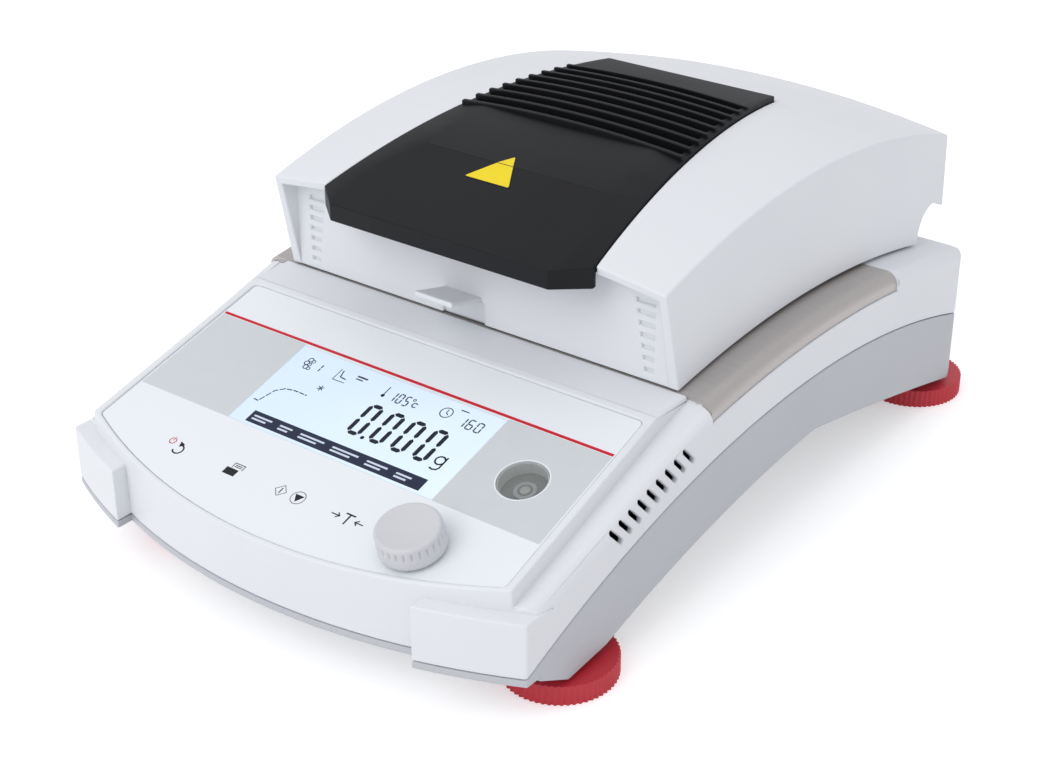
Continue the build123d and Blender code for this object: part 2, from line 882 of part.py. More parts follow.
with BuildPart() as pan_handler:
    ring_top = pan_top - pan_wall
    with BuildSketch(Plane.XY.offset(ring_top - handler_thickness)):
        with Locations((0, chamber_y)):
            Circle(handler_radius)
        with Locations((0, chamber_y - handler_radius - handler_ring)):
            RectangleRounded(handler_tab, handler_tab, handler_ring)
        with Locations((0, chamber_y)):
            Circle(handler_radius - handler_ring, mode=Mode.SUBTRACT)
    extrude(amount=handler_thickness)
    leg_reach = handler_radius - handler_ring / 2
    with BuildSketch(Plane.XY.offset(bowl_floor_z + sheet)):
        with Locations((0, chamber_y)):
            with PolarLocations(leg_reach, 3, start_angle=30):
                Rectangle(handler_ring - handler_leg_gap, handler_leg)
    extrude(amount=ring_top - handler_thickness / 2 - bowl_floor_z - sheet)
finish(pan_handler.part, "pan_handler")

with BuildPart() as pan_post:
    add(cylinder_at(Plane.XY, 0, chamber_y, post_radius + post_flange, cell_high_z, post_top))
finish(pan_post.part, "pan_post")

cell_middle_z = (cell_low_z + cell_high_z) / 2
cell_middle_y = (cell_front_y + cell_rear_y) / 2
with BuildPart() as load_cell:
    cell_length = cell_rear_y - cell_front_y
    add(box_at(Plane.XY, 0, cell_middle_y, 2 * cell_half_width, cell_length, cell_low_z, cell_high_z))
    for hole_y in (cell_middle_y - cell_hole_reach, cell_middle_y + cell_hole_reach):
        add(cross_rod(0, hole_y, cell_middle_z, cell_hole_radius, far), mode=Mode.SUBTRACT)
    with Locations((0, cell_middle_y, cell_middle_z)):
        Box(far, 2 * cell_hole_reach, cell_slit, mode=Mode.SUBTRACT)
finish(load_cell.part, "load_cell")

with BuildPart() as load_cell_mount:
    mount_width = 2 * (cell_half_width + mount_margin)
    add(box_at(Plane.XY, 0, cell_foot_y, mount_width, cell_seat, cell_low_z - mount_height, cell_low_z))
finish(load_cell_mount.part, "load_cell_mount")

# Boards and sockets at the back
with BuildPart() as main_board:
    board_high_z = board_low_z + board_thickness
    add(box_at(Plane.XY, 0, board_middle_y, 2 * board_half_width, board_depth, board_low_z, board_high_z))
finish(main_board.part, "main_board")

with BuildPart() as board_posts:
    with BuildSketch(Plane.XY.offset(board_low_z)):
        with Locations((0, board_middle_y)):
            post_pitch_x = 2 * (board_half_width - board_post_inset)
            with GridLocations(post_pitch_x, board_depth - 2 * board_post_inset, 2, 2):
                Circle(board_post_radius)
    extrude(amount=-board_low_z + underside_z)
    add(base_hollow.part, mode=Mode.INTERSECT)
finish(board_posts.part, "board_posts")


def rear_socket(x, width, height, length, wall, depth):
    """Socket block in the rear wall, open at its back."""
    back = rear_middle_y - socket_inset
    with BuildPart() as block:
        with Locations((x, back - length / 2, socket_z)):
            Box(width, length, height)
        with Locations((x, back - depth / 2, socket_z)):
            Box(width - 2 * wall, depth, height - 2 * wall, mode=Mode.SUBTRACT)
    return block.part


with BuildPart() as power_inlet:
    add(rear_socket(inlet_x, inlet_width, inlet_height, inlet_length, inlet_wall, inlet_depth))
    for side in (-1, 0, 1):
        pin_z = socket_z - inlet_pin_pitch / 2 + (inlet_pin if side == 0 else 0)
        pin_y = rear_middle_y - inlet_depth / 2 - inlet_pin_inset
        with Locations((inlet_x + side * inlet_pin_pitch, pin_y, pin_z)):
            Box(inlet_pin, inlet_depth - 2, inlet_pin * 1.5)
finish(power_inlet.part, "power_inlet")

with BuildPart() as serial_port:
    add(rear_socket(serial_x, serial_width, serial_height, serial_length, serial_wall, serial_depth))
finish(serial_port.part, "serial_port")

with BuildPart() as usb_port:
    add(rear_socket(usb_x, usb_width, usb_height, usb_length, usb_wall, usb_depth))
finish(usb_port.part, "usb_port")


# Cover
crown_radius = (cover_half_high**2 + cover_crown**2) / (2 * cover_crown)
arc_axis = Axis((0, cover_arc_y, cover_edge_top_z - cover_arc_radius), (1, 0, 0))


def crown_z(x, lower=0.0):
    """Height of the cover's crest at a distance from the middle."""
    return cover_edge_top_z + cover_crown - lower - crown_radius + sqrt(crown_radius**2 - x**2)


def barrel(lower):
    """Ring whose outer face is the cover's doubly curved top, lowered by an amount."""
    reach = cover_half_low + 4
    floor = cover_edge_top_z - cover_arc_radius / 3
    with BuildPart() as ring:
        with BuildSketch(Plane.XZ.offset(-cover_arc_y)):
            with BuildLine():
                left = (-reach, crown_z(reach, lower))
                right = (reach, crown_z(reach, lower))
                ThreePointArc(left, (0, crown_z(0, lower)), right)
                Polyline(right, (reach, floor), (-reach, floor), left)
            make_face()
        revolve(axis=arc_axis)
    return ring.part


def cover_form(inset):
    """Outer form of the cover, or its hollow when inset by the wall."""
    with BuildPart() as form:
        with BuildSketch(Plane.YZ):
            with BuildLine():
                notch_left = (hinge_y - hinge_notch_radius - inset, hinge_z)
                notch_corner = (hinge_notch_radius + inset) * sqrt(0.5)
                notch_top = (hinge_y, hinge_z + hinge_notch_radius + inset)
                lean = cover_front_top_y - cover_front_y if inset == 0 else 0
                rise = front_tip_z - cover_front_z
                front_low = (cover_front_y + inset, cover_front_z - 2 * inset)
                front_high = (front_low[0] + lean * far / 4 / rise, cover_front_z + far / 4)
                rear_low = (notch_left[0], cover_rear_z - 2 * inset)
                ThreePointArc(front_low, (cover_arch_y, cover_mid_z - 2 * inset), rear_low)
                Line(rear_low, notch_left)
                ThreePointArc(notch_left, (hinge_y - notch_corner, hinge_z + notch_corner), notch_top)
                Polyline(
                    notch_top,
                    (cover_rear_y - inset, overhang_z + inset),
                    (cover_rear_y - inset, front_high[1]),
                    front_high,
                    front_low,
                )
            make_face()
        extrude(amount=cover_half_low, both=True)
        with BuildSketch(Plane.XZ):
            with BuildLine():
                low_half = cover_half_low - inset
                high_half = cover_half_high - inset
                low_z = cover_rear_z - 2 * inset
                high_z = cover_edge_top_z + 2 * cover_crown
                Polyline(
                    (-low_half, low_z),
                    (low_half, low_z),
                    (high_half, high_z),
                    (-high_half, high_z),
                    (-low_half, low_z),
                )
            make_face()
        extrude(amount=far, both=True, mode=Mode.INTERSECT)
        add(barrel(inset), mode=Mode.INTERSECT)
    return form.part


def grille_plan(grow):
    """Outline of the grille, seen from above, extruded upwards."""
    with BuildPart() as plan:
        with BuildSketch(Plane.XY.offset(cover_front_z)):
            with BuildLine():
                Polyline(
                    (-grille_nose_half, grille_nose_y),
                    (grille_nose_half, grille_nose_y),
                    (grille_front_half, grille_front_y),
                    (grille_rear_half, grille_back_y),
                    (-grille_rear_half, grille_back_y),
                    (-grille_front_half, grille_front_y),
                    (-grille_nose_half, grille_nose_y),
                )
            make_face()
            if grow:
                offset(amount=grow, kind=Kind.INTERSECTION)
        extrude(amount=far)
    return plan.part


def louvres():
    """Shallow pockets at both sides of the cover's face, shorter towards the bottom."""
    with BuildPart() as slots:
        for i in range(louvre_count):
            width = louvre_long + (louvre_short - louvre_long) * i / (louvre_count - 1)
            for side in (-1, 1):
                x = side * (louvre_outer_x - width / 2)
                with Locations((x, cover_front_y, louvre_top_z - i * louvre_pitch)):
                    Box(width, 2 * louvre_depth, louvre_height)
    return slots.part


with BuildPart() as cover_shell:
    add(cover_form(0))
    add(cover_form(cover_wall), mode=Mode.SUBTRACT)
    with BuildPart(mode=Mode.PRIVATE) as recess:
        recess_half = cover_half_high - cover_wall
        with Locations((0, cover_front_y - far / 2, cover_front_z)):
            Box(2 * recess_half, far, far)
        add(barrel(front_rail), mode=Mode.INTERSECT)
    add(recess.part, mode=Mode.SUBTRACT)
    with BuildPart(mode=Mode.PRIVATE) as grille_seat:
        add(grille_plan(grille_gap))
        add(barrel(front_rail + 0.2), mode=Mode.SUBTRACT)
    add(grille_seat.part, mode=Mode.SUBTRACT)
    add(louvres(), mode=Mode.SUBTRACT)
    with Locations((tab_x, cover_front_y, (cover_front_z + tab_root_z - tab_thickness) / 2)):
        Box(2 * tab_notch_half, cover_wall, tab_root_z - tab_thickness - cover_front_z, mode=Mode.SUBTRACT)
    with BuildSketch(Plane.YZ.offset(tab_x)):
        with BuildLine():
            Polyline(
                (cover_front_y + cover_wall, tab_root_z),
                (cover_front_y, tab_root_z),
                (tab_tip_y, tab_tip_z),
                (tab_tip_y, tab_tip_z - tab_thickness),
                (cover_front_y, tab_root_z - tab_thickness),
                (cover_front_y + cover_wall, tab_root_z - tab_thickness),
                (cover_front_y + cover_wall, tab_root_z),
            )
        make_face()
    extrude(amount=tab_half_width, both=True)
    ear_x = hinge_x - hinge_leaf - hinge_leaf_gap
    for side in (-1, 1):
        with BuildSketch(Plane.YZ.offset(side * ear_x - hinge_leaf / 2)):
            with Locations((hinge_y, hinge_z)):
                Circle(hinge_eye_radius)
            with BuildLine():
                reach = hinge_notch_radius + ear_overlap
                Polyline(
                    (hinge_y, hinge_z + hinge_eye_radius),
                    (hinge_y, hinge_z + reach),
                    (hinge_y - reach * ear_slope, hinge_z + reach * ear_slope),
                    (hinge_y - reach, hinge_z),
                    (hinge_y - hinge_eye_radius, hinge_z),
                    (hinge_y, hinge_z + hinge_eye_radius),
                )
            make_face()
        extrude(amount=hinge_leaf)
    add(cross_rod(0, hinge_y, hinge_z, hinge_pin_radius + run_clearance, far), mode=Mode.SUBTRACT)
    with BuildPart(mode=Mode.PRIVATE) as bosses:
        for place in frame_places:
            add(cylinder_at(Plane.XY, *place, boss_radius, frame_top_z, far))
        add(cover_form(cover_wall / 2), mode=Mode.INTERSECT)
        for place in frame_places:
            add(
                cylinder_at(Plane.XY, *place, screw_radius + run_clearance, 0, boss_hole_top_z),
                mode=Mode.SUBTRACT,
            )
    add(bosses.part)
finish(cover_shell.part, "cover_shell")

with BuildPart() as hinge_brackets:
    for side in (-1, 1):
        with Locations((side * (hinge_x - hinge_foot / 2), hinge_y, rear_top_z)):
            Box(hinge_foot + hinge_leaf, 2 * hinge_eye_radius, 2 * hinge_foot_thickness)
    add(base_hollow.part, mode=Mode.INTERSECT)
    for side in (-1, 1):
        with BuildSketch(Plane.YZ.offset(side * hinge_x - hinge_leaf / 2)):
            with Locations((hinge_y, hinge_z)):
                Circle(hinge_eye_radius)
            with Locations((hinge_y, (hinge_z + rear_top_z - hinge_foot_thickness) / 2)):
                Rectangle(2 * hinge_eye_radius, hinge_z - rear_top_z + hinge_foot_thickness)
        extrude(amount=hinge_leaf)
    add(cross_rod(0, hinge_y, hinge_z, hinge_pin_radius + run_clearance / 2, far), mode=Mode.SUBTRACT)
finish(hinge_brackets.part, "hinge_brackets")

with BuildPart() as hinge_pin:
    add(cross_rod(0, hinge_y, hinge_z, hinge_pin_radius, 2 * (hinge_x + hinge_leaf)))
finish(hinge_pin.part, "hinge_pin")


def grille_facets(rise, thick):
    """Ring with a flat raised middle and sides that slope down to the cover."""
    outer = grille_front_half + 1
    with BuildPart() as ring:
        with BuildSketch(Plane.XZ.offset(-cover_arc_y)):
            with BuildLine():
                Polyline(
                    (-outer, crown_z(outer) - thick),
                    (-grille_fold_x, crown_z(grille_fold_x) + rise - thick),
                    (grille_fold_x, crown_z(grille_fold_x) + rise - thick),
                    (outer, crown_z(outer) - thick),
                    (outer, cover_front_z),
                    (-outer, cover_front_z),
                    (-outer, crown_z(outer) - thick),
                )
            make_face()
        revolve(axis=arc_axis)
    return ring.part


def above_brow(thick):
    """Room over the flatter brow at the front of the grille."""
    with BuildPart() as room:
        with BuildSketch(Plane.YZ):
            with BuildLine():
                crest = cover_edge_top_z + crown_z(grille_fold_x) - crown_z(cover_half_high) + grille_rise
                back_z = crest - (grille_brow_back_y - cover_arc_y) ** 2 / 2 / cover_arc_radius
                reach = grille_brow_back_y - grille_nose_y
                front = (grille_nose_y - reach, 2 * grille_brow_z - back_z - thick)
                back = (grille_brow_back_y, back_z - thick)
                Polyline(front, back, (back[0], far), (front[0], far), front)
            make_face()
        extrude(amount=far, both=True)
    return room.part


def rib_places():
    """Distances of the ribs along the cover."""
    step = (rib_rear_y - rib_front_y) / (rib_count - 1)
    return [rib_front_y + step * i for i in range(rib_count)]


def grille_half(y):
    """Half width of the grille at a distance along the cover."""
    share = (y - grille_front_y) / (grille_back_y - grille_front_y)
    return grille_front_half + share * (grille_rear_half - grille_front_half)


with BuildPart() as vent_grille:
    add(grille_plan(0))
    add(grille_facets(grille_rise, 0), mode=Mode.INTERSECT)
    add(above_brow(0), mode=Mode.SUBTRACT)
    with BuildPart(mode=Mode.PRIVATE) as grille_inside:
        add(grille_plan(-grille_thickness))
        add(grille_facets(grille_rise, grille_thickness), mode=Mode.INTERSECT)
        add(above_brow(grille_thickness), mode=Mode.SUBTRACT)
    add(grille_inside.part, mode=Mode.SUBTRACT)
    with Locations((0, 0, grille_lip_z - far / 2)):
        Box(far, far, far, mode=Mode.SUBTRACT)
    with BuildPart(mode=Mode.PRIVATE) as below_skirt:
        add(barrel(grille_skirt))
        with Locations((0, cover_front_top_y + far / 2, cover_front_z)):
            Box(far, far, far, mode=Mode.INTERSECT)
    add(below_skirt.part, mode=Mode.SUBTRACT)
    slot_step = (rib_rear_y - rib_front_y) / (rib_count - 1)
    for y in rib_places()[:-1]:
        slot_y = y + slot_step / 2
        slot_half = grille_half(slot_y) - rib_margin
        with Locations((0, slot_y, cover_edge_top_z)):
            Box(2 * slot_half, slot_step - rib_thickness, far / 4, mode=Mode.SUBTRACT)
    with BuildPart(mode=Mode.PRIVATE) as ribs:
        for y in rib_places():
            with Locations((0, y, cover_edge_top_z)):
                Box(2 * (grille_half(y) - rib_end), rib_thickness, far / 4)
        add(barrel(-rib_rise), mode=Mode.INTERSECT)
        add(barrel(grille_skirt), mode=Mode.SUBTRACT)
    add(ribs.part)
finish(vent_grille.part, "vent_grille")

with BuildPart() as vent_screen:
    screen_rear = rib_rear_y + slot_step / 2
    screen_front = rib_front_y - slot_step / 2
    with Locations((0, (screen_front + screen_rear) / 2, cover_edge_top_z)):
        Box(2 * (grille_half(screen_rear) - screen_margin), screen_rear - screen_front, far / 4)
    add(barrel(grille_skirt), mode=Mode.INTERSECT)
    add(barrel(grille_skirt + screen_thickness), mode=Mode.SUBTRACT)
finish(vent_screen.part, "vent_screen")

# Heater
glass_top_z = frame_top_z + glass_thickness
retainer_top_z = glass_top_z + retainer_thickness
lamp_z = retainer_top_z + lamp_lift
reflector_top_z = retainer_top_z + reflector_height
with BuildPart() as heater_frame:
    add(box_at(Plane.XY, 0, frame_y, 2 * frame_half, frame_rear - frame_front, frame_low_z, frame_top_z))
    add(cylinder_at(Plane.XY, 0, chamber_y, glass_radius - glass_ledge, 0, far), mode=Mode.SUBTRACT)
    for place in frame_places:
        add(cylinder_at(Plane.XY, *place, screw_radius + run_clearance, 0, far), mode=Mode.SUBTRACT)
finish(heater_frame.part, "heater_frame")

with BuildPart() as protective_glass:
    add(cylinder_at(Plane.XY, 0, chamber_y, glass_radius, frame_top_z, glass_top_z))
    add(
        cylinder_at(Plane.XY, 0, chamber_y, sensor_radius + sensor_hole_gap, 0, far),
        mode=Mode.SUBTRACT,
    )
finish(protective_glass.part, "protective_glass")

with BuildPart() as glass_retainer:
    add(cylinder_at(Plane.XY, 0, chamber_y, glass_radius + retainer_width, frame_top_z, retainer_top_z))
    add(cylinder_at(Plane.XY, 0, chamber_y, glass_radius + socket_fit, 0, glass_top_z), mode=Mode.SUBTRACT)
    add(cylinder_at(Plane.XY, 0, chamber_y, glass_radius - glass_ledge, 0, far), mode=Mode.SUBTRACT)
finish(glass_retainer.part, "glass_retainer")

with BuildPart() as reflector:
    rim_radius = glass_radius
    with BuildSketch(Plane.XZ.offset(-chamber_y)):
        with BuildLine():
            Polyline(
                (0, reflector_top_z),
                (reflector_top_radius, reflector_top_z),
                (rim_radius, retainer_top_z + sheet),
                (rim_radius + reflector_flange, retainer_top_z + sheet),
                (rim_radius + reflector_flange, retainer_top_z),
                (rim_radius - sheet, retainer_top_z),
                (reflector_top_radius - sheet, reflector_top_z - sheet),
                (0, reflector_top_z - sheet),
                (0, reflector_top_z),
            )
        make_face()
    revolve(axis=Axis((0, chamber_y, 0), (0, 0, 1)))
finish(reflector.part, "reflector")

with BuildPart() as halogen_lamp:
    lamp_plane = Plane(origin=(0, chamber_y, lamp_z), x_dir=(0, 1, 0), z_dir=(0, 0, 1))
    start = lamp_plane.rotated((0, 0, (360 - lamp_arc) / 2))
    with BuildSketch(Plane(origin=start.origin, x_dir=start.x_dir, z_dir=-start.y_dir)):
        with Locations((lamp_radius, 0)):
            Circle(lamp_tube_radius)
    revolve(axis=Axis((0, chamber_y, lamp_z), (0, 0, 1)), revolution_arc=lamp_arc)
finish(halogen_lamp.part, "halogen_lamp")

with BuildPart() as lamp_socket:
    socket_half = (lamp_radius - lamp_tube_radius) * sin(radians((360 - lamp_arc) / 2)) - socket_fit
    socket_top = reflector_top_z - sheet
    socket_low = lamp_z - lamp_tube_radius
    add(box_at(Plane.XY, 0, chamber_y + lamp_radius, 2 * socket_half, socket_depth, socket_low, socket_top))
finish(lamp_socket.part, "lamp_socket")

with BuildPart() as temperature_sensor:
    sensor_top = reflector_top_z - sheet
    add(cylinder_at(Plane.XY, 0, chamber_y, sensor_radius, frame_low_z - sensor_drop, sensor_top))
    add(cylinder_at(Plane.XY, 0, chamber_y, sensor_flange, sensor_top - sensor_flange_height, sensor_top))
finish(temperature_sensor.part, "temperature_sensor")

with BuildPart() as frame_screws:
    for place in frame_places:
        add(cylinder_at(Plane.XY, *place, screw_head_radius, frame_low_z - screw_head_height, frame_low_z))
        add(cylinder_at(Plane.XY, *place, screw_radius, frame_low_z, frame_low_z + screw_length))
finish(frame_screws.part, "frame_screws")
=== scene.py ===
import json
from math import cos, pi, radians, sin

import bmesh
import bpy
from mathutils import Matrix, Vector
from mathutils.bvhtree import BVHTree


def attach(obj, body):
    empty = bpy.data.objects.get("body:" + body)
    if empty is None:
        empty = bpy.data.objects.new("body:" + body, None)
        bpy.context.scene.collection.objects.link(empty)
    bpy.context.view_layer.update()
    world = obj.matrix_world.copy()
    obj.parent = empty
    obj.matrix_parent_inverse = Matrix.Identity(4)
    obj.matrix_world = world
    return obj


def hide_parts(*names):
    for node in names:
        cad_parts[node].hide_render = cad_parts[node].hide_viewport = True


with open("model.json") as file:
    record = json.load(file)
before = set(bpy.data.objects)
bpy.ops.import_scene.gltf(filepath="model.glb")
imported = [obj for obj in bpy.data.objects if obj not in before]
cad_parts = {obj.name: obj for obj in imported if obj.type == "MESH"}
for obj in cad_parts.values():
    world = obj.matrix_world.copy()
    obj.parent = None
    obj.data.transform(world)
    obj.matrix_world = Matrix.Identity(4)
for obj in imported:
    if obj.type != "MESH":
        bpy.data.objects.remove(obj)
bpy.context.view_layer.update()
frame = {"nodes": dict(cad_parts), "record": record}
mm = 0.001

# camera, fitted to the straight edges of the panel, cover and housing
camera = {
    "azimuth": 37.726,
    "elevation": 27.72,
    "roll": -0.12,
    "eye": (388.1, -513.0, 366.8),
    "lens": 65.55,
    "sensor": 36,
    "near": 0.01,
    "far": 20,
}


def placeCamera():
    turn, rise, roll = (radians(camera[key]) for key in ("azimuth", "elevation", "roll"))
    back = Vector((sin(turn) * cos(rise), -cos(turn) * cos(rise), sin(rise)))
    right = Vector((cos(turn), sin(turn), 0))
    up = back.cross(right)
    rolledRight = right * cos(roll) + up * sin(roll)
    rolledUp = up * cos(roll) - right * sin(roll)
    place = Matrix((rolledRight, rolledUp, back)).transposed().to_4x4()
    place.translation = Vector(camera["eye"]) * mm
    data = bpy.data.cameras.new("photoCamera")
    data.sensor_fit = "HORIZONTAL"
    data.sensor_width = camera["sensor"]
    data.lens = camera["lens"]
    data.clip_start = camera["near"]
    data.clip_end = camera["far"]
    body = bpy.data.objects.new("photoCamera", data)
    body.matrix_world = place
    bpy.context.collection.objects.link(body)
    bpy.context.scene.camera = body


def srgb(text):
    # sRGB hex to the linear colour that the shaders take
    parts = [int(text[i : i + 2], 16) / 255 for i in (1, 3, 5)]
    linear = [p / 12.92 if p <= 0.04045 else ((p + 0.055) / 1.055) ** 2.4 for p in parts]
    return (*linear, 1)


def addNode(tree, kind, settings=None, links=None):
    # settings are node properties by name or input values by name or number
    node = tree.nodes.new(kind)
    for key, value in (settings or {}).items():
        if isinstance(key, int) or key in node.inputs:
            node.inputs[key].default_value = value
        else:
            setattr(node, key, value)
    for key, socket in (links or {}).items():
        tree.links.new(socket, node.inputs[key])
    return node


def startMaterial(name, colour, roughness):
    material = bpy.data.materials.new(name)
    material.use_nodes = True
    tree = material.node_tree
    shader = tree.nodes["Principled BSDF"]
    shader.inputs["Base Color"].default_value = srgb(colour)
    shader.inputs["Roughness"].default_value = roughness
    place = addNode(tree, "ShaderNodeTexCoord").outputs["Object"]
    return material, tree, shader, place


def spread(tree, place, shader, colours, size, roughness):
    # slow change of colour and roughness over a surface, size in mm
    patch = addNode(
        tree,
        "ShaderNodeTexNoise",
        {"Scale": 1 / (size * mm), "Detail": 3.0},
        {"Vector": place},
    )
    tint = addNode(
        tree,
        "ShaderNodeMix",
        {"data_type": "RGBA", 6: srgb(colours[0]), 7: srgb(colours[1])},
        {0: patch.outputs["Fac"]},
    )
    tree.links.new(tint.outputs[2], shader.inputs["Base Color"])
    gloss = addNode(
        tree,
        "ShaderNodeMapRange",
        {"To Min": roughness[0], "To Max": roughness[1]},
        {"Value": patch.outputs["Fac"]},
    )
    tree.links.new(gloss.outputs["Result"], shader.inputs["Roughness"])


def relief(tree, shader, height, depth):
    # bump from a height pattern, its full depth in mm
    bump = addNode(
        tree,
        "ShaderNodeBump",
        {"Strength": 1.0, "Distance": depth * mm},
        {"Height": height},
    )
    tree.links.new(bump.outputs["Normal"], shader.inputs["Normal"])


def grain(tree, place, shader, size, depth):
    # fine relief of a moulded or cast surface, size and depth in mm
    texture = addNode(tree, "ShaderNodeTexNoise", {"Scale": 1 / (size * mm)}, {"Vector": place})
    relief(tree, shader, texture.outputs["Fac"], depth)


# sizes of the patterns in mm, and how far roughness swings to either side
plasticSet = {"patch": 45, "grain": 0.8, "depth": 0.012, "smoother": 0.04, "rougher": 0.05}
metalSet = {"stretch": 0.02, "depth": 0.006, "smoother": 0.08, "rougher": 0.1}
filmSet = {"patch": 70, "grain": 2.5, "depth": 0.004, "swing": 0.05, "specular": 0.35}
inkSet = {"patch": 6, "rough": 0.45, "swing": 0.05, "specular": 0.3}
displayGlassSet = {
    "rough": 0.22,
    "rampStart": (0.5, 0, 0),
    "rampScale": (9, 0, 0),
    "cloud": 30,
    "cloudShare": 0.4,
    "grain": 0.6,
    "depth": 0.002,
}
clearGlassSet = {"rough": 0.06, "swing": 0.03, "patch": 25}
maskSet = {"rough": 0.35, "pitch": 9, "track": 0.03, "grain": 1.2, "depth": 0.01}
punchSet = {"rough": 0.55, "pitch": 2, "inner": 0.28, "outer": 0.34, "depth": 0.3}
glassIndex = 1.5


def mouldedPlastic(name, look):
    # moulded ABS: spark-eroded satin skin, grain drawn coarser than the real one
    material, tree, shader, place = startMaterial(name, look["colour"], look["rough"])
    shader.inputs["IOR"].default_value = glassIndex
    shader.inputs["Specular IOR Level"].default_value = look.get("specular", 0.4)
    swing = (look["rough"] - plasticSet["smoother"], look["rough"] + plasticSet["rougher"])
    spread(tree, place, shader, (look["colour"], look["shade"]), plasticSet["patch"], swing)
    grain(tree, place, shader, plasticSet["grain"], look.get("depth", plasticSet["depth"]))
    return material


def brushedMetal(name, look):
    # sheet brushed along X: long scratches, so the noise is stretched in that direction
    material, tree, shader, place = startMaterial(name, look["colour"], look["rough"])
    shader.inputs["Metallic"].default_value = look.get("metallic", 1.0)
    scale = (metalSet["stretch"], 1, 1)
    stretched = addNode(tree, "ShaderNodeMapping", {"Scale": scale}, {"Vector": place})
    line = addNode(
        tree,
        "ShaderNodeTexNoise",
        {"Scale": 1 / (look["line"] * mm), "Detail": 4.0},
        {"Vector": stretched.outputs["Vector"]},
    )
    tint = addNode(
        tree,
        "ShaderNodeMix",
        {"data_type": "RGBA", 6: srgb(look["colour"]), 7: srgb(look["shade"])},
        {0: line.outputs["Fac"]},
    )
    tree.links.new(tint.outputs[2], shader.inputs["Base Color"])
    gloss = addNode(
        tree,
        "ShaderNodeMapRange",
        {
            "To Min": look["rough"] - metalSet["smoother"],
            "To Max": look["rough"] + metalSet["rougher"],
        },
        {"Value": line.outputs["Fac"]},
    )
    tree.links.new(gloss.outputs["Result"], shader.inputs["Roughness"])
    relief(tree, shader, line.outputs["Fac"], metalSet["depth"])
    return material


def printedFilm(name, look):
    # polyester film printed from behind: even colour, faint orange peel, a soft sheen
    material, tree, shader, place = startMaterial(name, look["colour"], look["rough"])
    swing = (look["rough"] - filmSet["swing"], look["rough"] + filmSet["swing"])
    spread(tree, place, shader, (look["colour"], look["shade"]), filmSet["patch"], swing)
    grain(tree, place, shader, filmSet["grain"], filmSet["depth"])
    shader.inputs["Specular IOR Level"].default_value = filmSet["specular"]
    return material


def printInk(name, look):
    # screen-printed ink: flat, with the slight mottle of the mesh
    material, tree, shader, place = startMaterial(name, look["colour"], inkSet["rough"])
    swing = (inkSet["rough"] - inkSet["swing"], inkSet["rough"] + inkSet["swing"])
    spread(tree, place, shader, (look["colour"], look["shade"]), inkSet["patch"], swing)
    shader.inputs["Specular IOR Level"].default_value = inkSet["specular"]
    return material


def litDisplay(name, look):
    # backlit liquid crystal glass: pale blue, brighter to the right, slightly cloudy
    material, tree, shader, place = startMaterial(name, look["low"], displayGlassSet["rough"])
    rise = addNode(
        tree,
        "ShaderNodeMapping",
        {"Location": displayGlassSet["rampStart"], "Scale": displayGlassSet["rampScale"]},
        {"Vector": place},
    )
    ramp = addNode(tree, "ShaderNodeTexGradient", {}, {"Vector": rise.outputs["Vector"]})
    cloud = addNode(
        tree,
        "ShaderNodeTexNoise",
        {"Scale": 1 / (displayGlassSet["cloud"] * mm)},
        {"Vector": place},
    )
    blend = addNode(
        tree,
        "ShaderNodeMix",
        {"data_type": "FLOAT", 0: displayGlassSet["cloudShare"]},
        {2: ramp.outputs["Fac"], 3: cloud.outputs["Fac"]},
    )
    tint = addNode(
        tree,
        "ShaderNodeMix",
        {"data_type": "RGBA", 6: srgb(look["low"]), 7: srgb(look["high"])},
        {0: blend.outputs[0]},
    )
    tree.links.new(tint.outputs[2], shader.inputs["Base Color"])
    tree.links.new(tint.outputs[2], shader.inputs["Emission Color"])
    shader.inputs["Emission Strength"].default_value = look["glow"]
    grain(tree, place, shader, displayGlassSet["grain"], displayGlassSet["depth"])
    return material


def clearGlass(name, look):
    # ground and fire-polished glass: see-through with a faint tint and a few drawn streaks
    material, tree, shader, place = startMaterial(name, look["colour"], clearGlassSet["rough"])
    swing = (
        clearGlassSet["rough"] - clearGlassSet["swing"],
        clearGlassSet["rough"] + clearGlassSet["swing"],
    )
    spread(tree, place, shader, (look["colour"], look["shade"]), clearGlassSet["patch"], swing)
    shader.inputs["IOR"].default_value = glassIndex
    shader.inputs["Alpha"].default_value = look["alpha"]
    shader.inputs["Transmission Weight"].default_value = look.get("through", 0.0)
    return material


def solderMask(name, look):
    # glass-fibre board under green solder mask: tracks show as a lighter pattern
    material, tree, shader, place = startMaterial(name, look["colour"], maskSet["rough"])
    tracks = addNode(
        tree,
        "ShaderNodeTexBrick",
        {
            "Scale": 1 / (maskSet["pitch"] * mm),
            "Color1": srgb(look["colour"]),
            "Color2": srgb(look["shade"]),
            "Mortar": srgb(look["track"]),
            "Mortar Size": maskSet["track"],
        },
        {"Vector": place},
    )
    tree.links.new(tracks.outputs["Color"], shader.inputs["Base Color"])
    grain(tree, place, shader, maskSet["grain"], maskSet["depth"])
    return material


